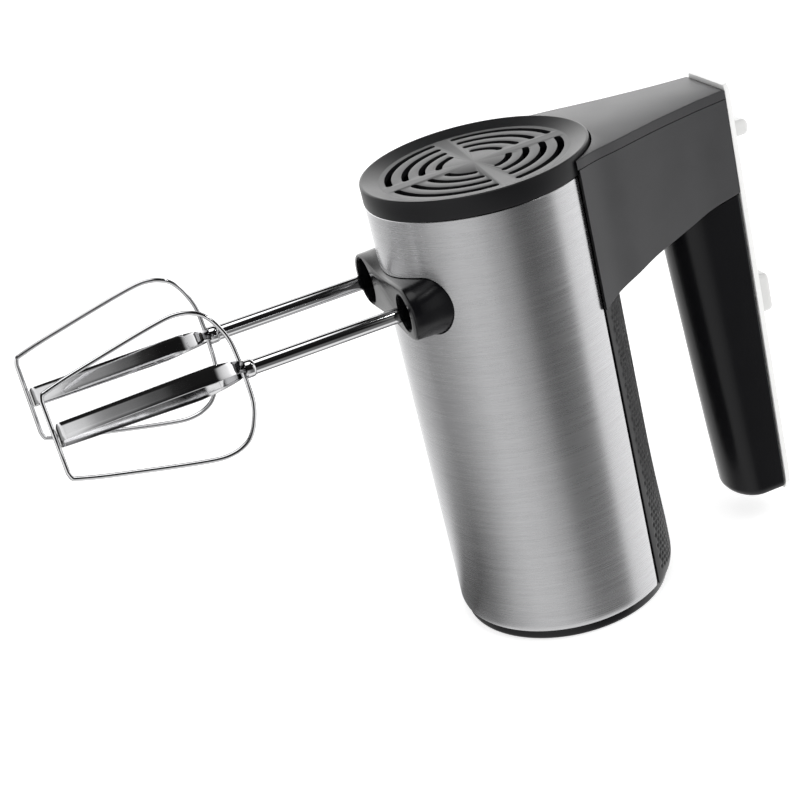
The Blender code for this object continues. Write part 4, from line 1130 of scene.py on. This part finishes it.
def nose_outline(count=160, waist=1.5):
    """Two sockets' rounds joined by a waist, as (y, z) points about the beater axes' middle."""
    straight = NOSE_HALF - NOSE_R
    points = []
    for i in range(count):
        turn = 2 * math.pi * i / count
        y = NOSE_HALF * math.cos(turn)
        if abs(y) < straight:
            z = NOSE_R - waist * math.cos(math.pi / 2 * abs(y) / straight) ** 2
        else:
            z = math.sqrt(max(0.0, NOSE_R ** 2 - (abs(y) - straight) ** 2))
        points.append((y, z if turn < math.pi else -z))
    return points


def nose_body(name, grow=0.0):
    """The nose as a circle primitive moved onto its outline and extruded out from the barrel."""
    outline = nose_outline()
    deselect_all()
    bpy.ops.mesh.primitive_circle_add(vertices=len(outline), radius=MM, fill_type="NGON")
    body = fresh(name)
    for vertex, (y, z) in zip(body.data.vertices, outline):
        vertex.co = Vector((0.0, y * (1 + grow / NOSE_HALF), BEATER_Z + z * (1 + grow / NOSE_R))) * MM
    low = NOSE_LOW.x
    lip = 0.8
    # Distance out, then the share of the outline's width and height there.
    rows = [(0.0, 0.912, 1.176), (5.0, 0.924, 1.172), (9.0, 0.945, 1.12), (12.0, 0.97, 1.06)]
    rows += [(16.0, 0.99, 1.02), (NOSE_X - low - lip, 1.0, 1.0)]
    if grow:
        rows.append((NOSE_X - low - lip + 8.0, 1.0, 1.0))
    else:
        out, wide, tall = rows[-1]
        for step, shrink in ((0.35, 0.15), (0.3, 0.3), (0.15, 0.35)):
            out += step
            wide *= 1 - shrink / NOSE_HALF
            tall *= 1 - shrink / NOSE_R
            rows.append((out, wide, tall))
    edit(body)
    bpy.ops.transform.translate(value=(low * MM, 0.0, 0.0))
    pivot = (0.0, 0.0, BEATER_Z * MM)
    out, wide, tall = rows[0]
    bpy.ops.transform.resize(value=(1.0, wide, tall), center_override=pivot)
    for far, y_share, z_share in rows[1:]:
        bpy.ops.mesh.extrude_region_move(TRANSFORM_OT_translate={"value": ((far - out) * MM, 0.0, 0.0)})
        bpy.ops.transform.resize(value=(1.0, y_share / wide, z_share / tall), center_override=pivot)
        out, wide, tall = far, y_share, z_share
    close_mesh()
    return body


class MIXER_OT_nose(bpy.types.Operator):
    """Shape the nose and bore its two sockets, each with a wider mouth"""

    bl_idname = "mixer.nose"
    bl_label = "Nose"

    def execute(self, context):
        nose = nose_body("socket_nose")
        bores = []
        for radius, y in ((NEAR_BORE_R, BEATER_Y), (FAR_BORE_R, -BEATER_Y)):
            for reach, low in ((radius, 20.0), (radius + 0.7, NOSE_X - 0.7)):
                bores.append(laid_along_x(rod("bore", reach, low, 60.0, vertices=72), y, BEATER_Z))
        shape_with(nose, "DIFFERENCE", *bores)
        stand_for(nose, "nose_socket", "mixer_body", "black_plastic", 32.0)
        return {"FINISHED"}


class MIXER_OT_beaters(bpy.types.Operator):
    """Turn the stems, bend the wires and fold the strips of both beaters"""

    bl_idname = "mixer.beaters"
    bl_label = "Beaters"

    def execute(self, context):
        sizes = context.scene.mixer_sizes
        thick = sizes.wire_thickness / MM
        for side, y, wire_deg, strip_deg in (("near", BEATER_Y, 121.0, 27.5), ("far", -BEATER_Y, 105.0, 23.0)):
            hub = box_of("beater_wire_" + side)[1].x - thick / 2 - LOOP_LENGTH
            self.stem(side, y)
            self.wire(side, y, hub, wire_deg, thick / 2)
            self.strip(side, y, hub, strip_deg, sizes.strip_width / MM)
        return {"FINISHED"}

    @staticmethod
    def stem(side, y):
        """The round stem, eased into its spindle's end and thicker at the hub."""
        low, high = (corner.x for corner in box_of("beater_stem_" + side))
        shank = [(0.0, low), (1.6, low), (2.3, low + 0.5), (2.8, low + 1.4), (2.8, high - 3.2)]
        hub = [(3.1, high - 2.8), (3.3, high - 2.2), (3.3, high + 0.1), (3.1, high + 0.6), (2.4, high + 1.0)]
        stem = laid_along_x(turned("round_stem_" + side, [*shank, *hub, (0.0, high + 1.1)], 48), y, BEATER_Z)
        stand_for(stem, "beater_stem_" + side, "beater_%s_body" % side, "chrome")

    @staticmethod
    def wire(side, y, hub, turn_deg, radius):
        """The bent wire loop, out along one side and back along the other."""
        half = smooth_rows(LOOP_ROWS, 6)
        rows = [*half, *(Vector((row.x, -row.y)) for row in reversed(half[1:]))]
        turn = Matrix.Rotation(math.radians(turn_deg), 3, "X")
        middle = Vector((hub, y, BEATER_Z))
        points = [middle + turn @ Vector((row.x * LOOP_LENGTH, row.y * LOOP_R, 0.0)) for row in rows]
        loop = tube_along("bent_wire_" + side, points, radius)
        stand_for(loop, "beater_wire_" + side, "beater_%s_body" % side, "chrome", 60.0)

    @staticmethod
    def strip(side, y, hub, turn_deg, width):
        """The strip's line is drawn, extruded to its width, narrowed at the roots and given its thickness."""
        half = smooth_rows(LOOP_ROWS[1:], 5)
        rows = [(hub + row.x * (LOOP_LENGTH - 1.7), row.y * LOOP_R * 0.9) for row in half]
        rows += [(x, -r) for x, r in reversed(rows)]
        strip = line_through("folded_strip_" + side, [Vector((x, r, -width / 2)) * MM for x, r in rows])
        for _ in range(4):
            bpy.ops.mesh.extrude_edges_move(TRANSFORM_OT_translate={"value": (0.0, 0.0, width / 4 * MM)})
        bpy.ops.object.mode_set(mode="OBJECT")
        for vertex in strip.data.vertices:
            along = (vertex.co.x / MM - hub) / LOOP_LENGTH
            vertex.co.z *= min(1.0, 0.62 + along / 0.2 * 0.38)
        edit(strip)
        close_mesh()
        modify(strip, "SOLIDIFY", thickness=0.9 * MM, offset=0.0, use_even_offset=True)
        soften(strip, 0.2, 2, 60.0)
        strip.rotation_euler.x = math.radians(turn_deg)
        strip.location = Vector((0.0, y, BEATER_Z)) * MM
        stand_for(strip, "beater_strip_" + side, "beater_%s_body" % side, "chrome", 50.0)


# The tent's brightness round the mixer, as (degrees from +X towards +Y, level): first as seen from below the
# horizon, then from above it.
TENT_LOW = (
    (-180, 1.3), (-150, 1.4), (-103, 1.5), (-83, 1.05), (-60, 0.74), (-22, 0.36), (0, 0.46), (37, 0.78),
    (60, 0.72), (80, 0.52), (98, 0.19), (110, 0.15), (130, 0.20), (139, 0.30), (147, 1.0), (165, 1.15),
    (180, 1.2),
)
TENT_HIGH = (
    (-180, 2.0), (-100, 2.8), (-30, 1.4), (10, 0.9), (50, 0.95), (61, 0.85), (66, 0.35), (70, 0.03),
    (75, 0.008), (116, 0.008), (126, 0.5), (150, 1.0), (180, 2.0),
)


class MIXER_OT_stage(bpy.types.Operator):
    """Lay the pale floor, hang the lights and the tent, and stand the camera"""

    bl_idname = "mixer.stage"
    bl_label = "Studio"

    def execute(self, context):
        scene = context.scene
        studio = scene.mixer_studio
        scene.view_settings.view_transform = "Standard"
        scene.view_settings.look = "None"
        self.floor()
        self.tent()
        self.floor_shade()
        self.room(scene, studio.sky)
        self.soft_light(scene, "key_box", (-0.35, 0.75, 1.05), 2.0, 0.9, False)
        self.soft_light(scene, "edge_light", (-0.56, 0.44, 1.13), 0.9, 0.12, True)
        self.camera(scene, studio)
        return {"FINISHED"}

    @staticmethod
    def floor():
        """A wide pale disc that reflections don't see."""
        deselect_all()
        bpy.ops.mesh.primitive_circle_add(vertices=96, radius=6.0, fill_type="NGON")
        floor = fresh("pale_floor")
        glow = {"Emission_Strength": 0.6, "Emission_Color": (1.0, 1.0, 1.0, 1.0)}
        bench = Bench("pale_floor", (0.9, 0.9, 0.9), Roughness=0.9, Specular_IOR_Level=0.1, **glow)
        shade = bench.noise(bench.place(), 3.0, 2.0)
        bench.set("Base Color", bench.tint(shade, (0.89, 0.89, 0.89), (0.91, 0.91, 0.91)))
        floor.data.materials.append(bench.material)
        floor.visible_glossy = False

    def tent(self):
        """A wide ball of soft light and shade that only the reflections see."""
        radius = 4.0
        deselect_all()
        bpy.ops.mesh.primitive_uv_sphere_add(segments=64, ring_count=32, radius=radius)
        tent = fresh("reflection_tent")
        dark = {"Roughness": 1.0, "Specular_IOR_Level": 0.0}
        bench = Bench("reflection_tent", (0.0, 0.0, 0.0), Emission_Strength=1.0, **dark)
        x, y, z = bench.split(bench.place())
        turn = bench.maths("ARCTAN2", y, x) / (2 * math.pi) + 0.5
        low, high = (self.bands(bench, turn, table) for table in (TENT_LOW, TENT_HIGH))
        height = z / radius
        above = bench.ramp(height, -0.12, 0.10)
        level = low * (1.0 - above) + high * above
        for start, end, brightness in ((0.50, 0.58, 0.012), (0.93, 0.97, 2.2), (-0.62, -0.80, 1.0)):
            share = bench.ramp(height, start, end)
            level = level * (1.0 - share) + brightness * share
        bench.set("Emission Color", bench.node("ShaderNodeCombineColor", {}, level, level, level))
        tent.data.materials.append(bench.material)
        self.reflections_only(tent)

    @staticmethod
    def bands(bench, turn, table):
        """A level that follows a table of (degrees, level) round the tent."""
        stops = [((degrees + 180) / 360, level) for degrees, level in table]
        return bench.node("ShaderNodeValToRGB", {"stops": stops}, turn)

    def floor_shade(self):
        """A soft dark patch on the floor before the barrel, which darkens the foot of the steel."""
        deselect_all()
        bpy.ops.mesh.primitive_circle_add(
            vertices=64, radius=0.3, fill_type="NGON", location=(0.0, 0.0, 0.0004))
        patch = settle(fresh("floor_shade"))
        bench = Bench("floor_shade", (0.0, 0.0, 0.0), Roughness=1.0, Specular_IOR_Level=0.0)
        x, y, _ = bench.split(bench.place())
        near = bench.ramp(bench.maths("SQRT", x * x + y * y), 0.21, 0.06)
        turn = bench.maths("ARCTAN2", y, x)
        for start, end in ((-46, -28), (30, -5)):
            near = near * bench.ramp(turn, math.radians(start), math.radians(end))
        bench.set("Alpha", near * 0.85)
        patch.data.materials.append(bench.material)
        self.reflections_only(patch)

    @staticmethod
    def reflections_only(obj):
        """Hides a thing from everything but glossy rays."""
        for kind in ("camera", "diffuse", "transmission", "volume_scatter", "shadow"):
            setattr(obj, "visible_" + kind, False)

    @staticmethod
    def room(scene, strength):
        """Even white light from all round."""
        scene.world = bpy.data.worlds.new("white_room")
        scene.world.use_nodes = True
        background = scene.world.node_tree.nodes["Background"]
        background.inputs["Color"].default_value = (1.0, 1.0, 1.0, 1.0)
        background.inputs["Strength"].default_value = strength

    @staticmethod
    def soft_light(scene, name, place, power, size, in_reflections):
        """A square lamp that looks at the mixer's middle."""
        light = bpy.data.lights.new(name, "AREA")
        light.size = size
        light.energy = power
        lamp = bpy.data.objects.new(name, light)
        lamp.location = place
        lamp.rotation_euler = (Vector((0.0, 0.0, 0.1)) - lamp.location).to_track_quat("-Z", "Y").to_euler()
        lamp.visible_glossy = in_reflections
        scene.collection.objects.link(lamp)

    @staticmethod
    def camera(scene, studio):
        """The camera, which the scene then looks through."""
        camera = bpy.data.cameras.new("studio_camera")
        camera.lens = studio.camera_lens
        camera.sensor_width = 36.0
        stand = bpy.data.objects.new("studio_camera", camera)
        stand.location = studio.camera_place
        stand.rotation_euler = studio.camera_turn
        scene.collection.objects.link(stand)
        scene.camera = stand


class MIXER_PT_panel(bpy.types.Panel):
    """Lists the steps in the order they are built"""

    bl_idname = "MIXER_PT_panel"
    bl_label = "Hand Mixer"
    bl_space_type = "VIEW_3D"
    bl_region_type = "UI"
    bl_category = "Hand Mixer"

    def draw(self, context):
        for step in STEPS:
            self.layout.operator(step.bl_idname)
        for group in (context.scene.mixer_sizes, context.scene.mixer_colours, context.scene.mixer_studio):
            box = self.layout.box()
            for name in group.__annotations__:
                box.prop(group, name)


STEPS = (
    MIXER_OT_finishes,
    MIXER_OT_barrel,
    MIXER_OT_grip,
    MIXER_OT_vent_cap,
    MIXER_OT_bridge,
    MIXER_OT_handle,
    MIXER_OT_back_cover,
    MIXER_OT_controls,
    MIXER_OT_nose,
    MIXER_OT_beaters,
    MIXER_OT_stage,
)
GROUPS = (MixerSizes, MixerColours, MixerStudio)


def register():
    for item in (*GROUPS, *STEPS, MIXER_PT_panel):
        bpy.utils.register_class(item)
    bpy.types.Scene.mixer_sizes = PointerProperty(type=MixerSizes)
    bpy.types.Scene.mixer_colours = PointerProperty(type=MixerColours)
    bpy.types.Scene.mixer_studio = PointerProperty(type=MixerStudio)


def unregister():
    del bpy.types.Scene.mixer_studio
    del bpy.types.Scene.mixer_colours
    del bpy.types.Scene.mixer_sizes
    for item in reversed((*GROUPS, *STEPS, MIXER_PT_panel)):
        bpy.utils.unregister_class(item)


def main():
    register()
    for step in STEPS:
        family, name = step.bl_idname.split(".")
        getattr(getattr(bpy.ops, family), name)()
    deselect_all()


if __name__ == "__main__":
    main()
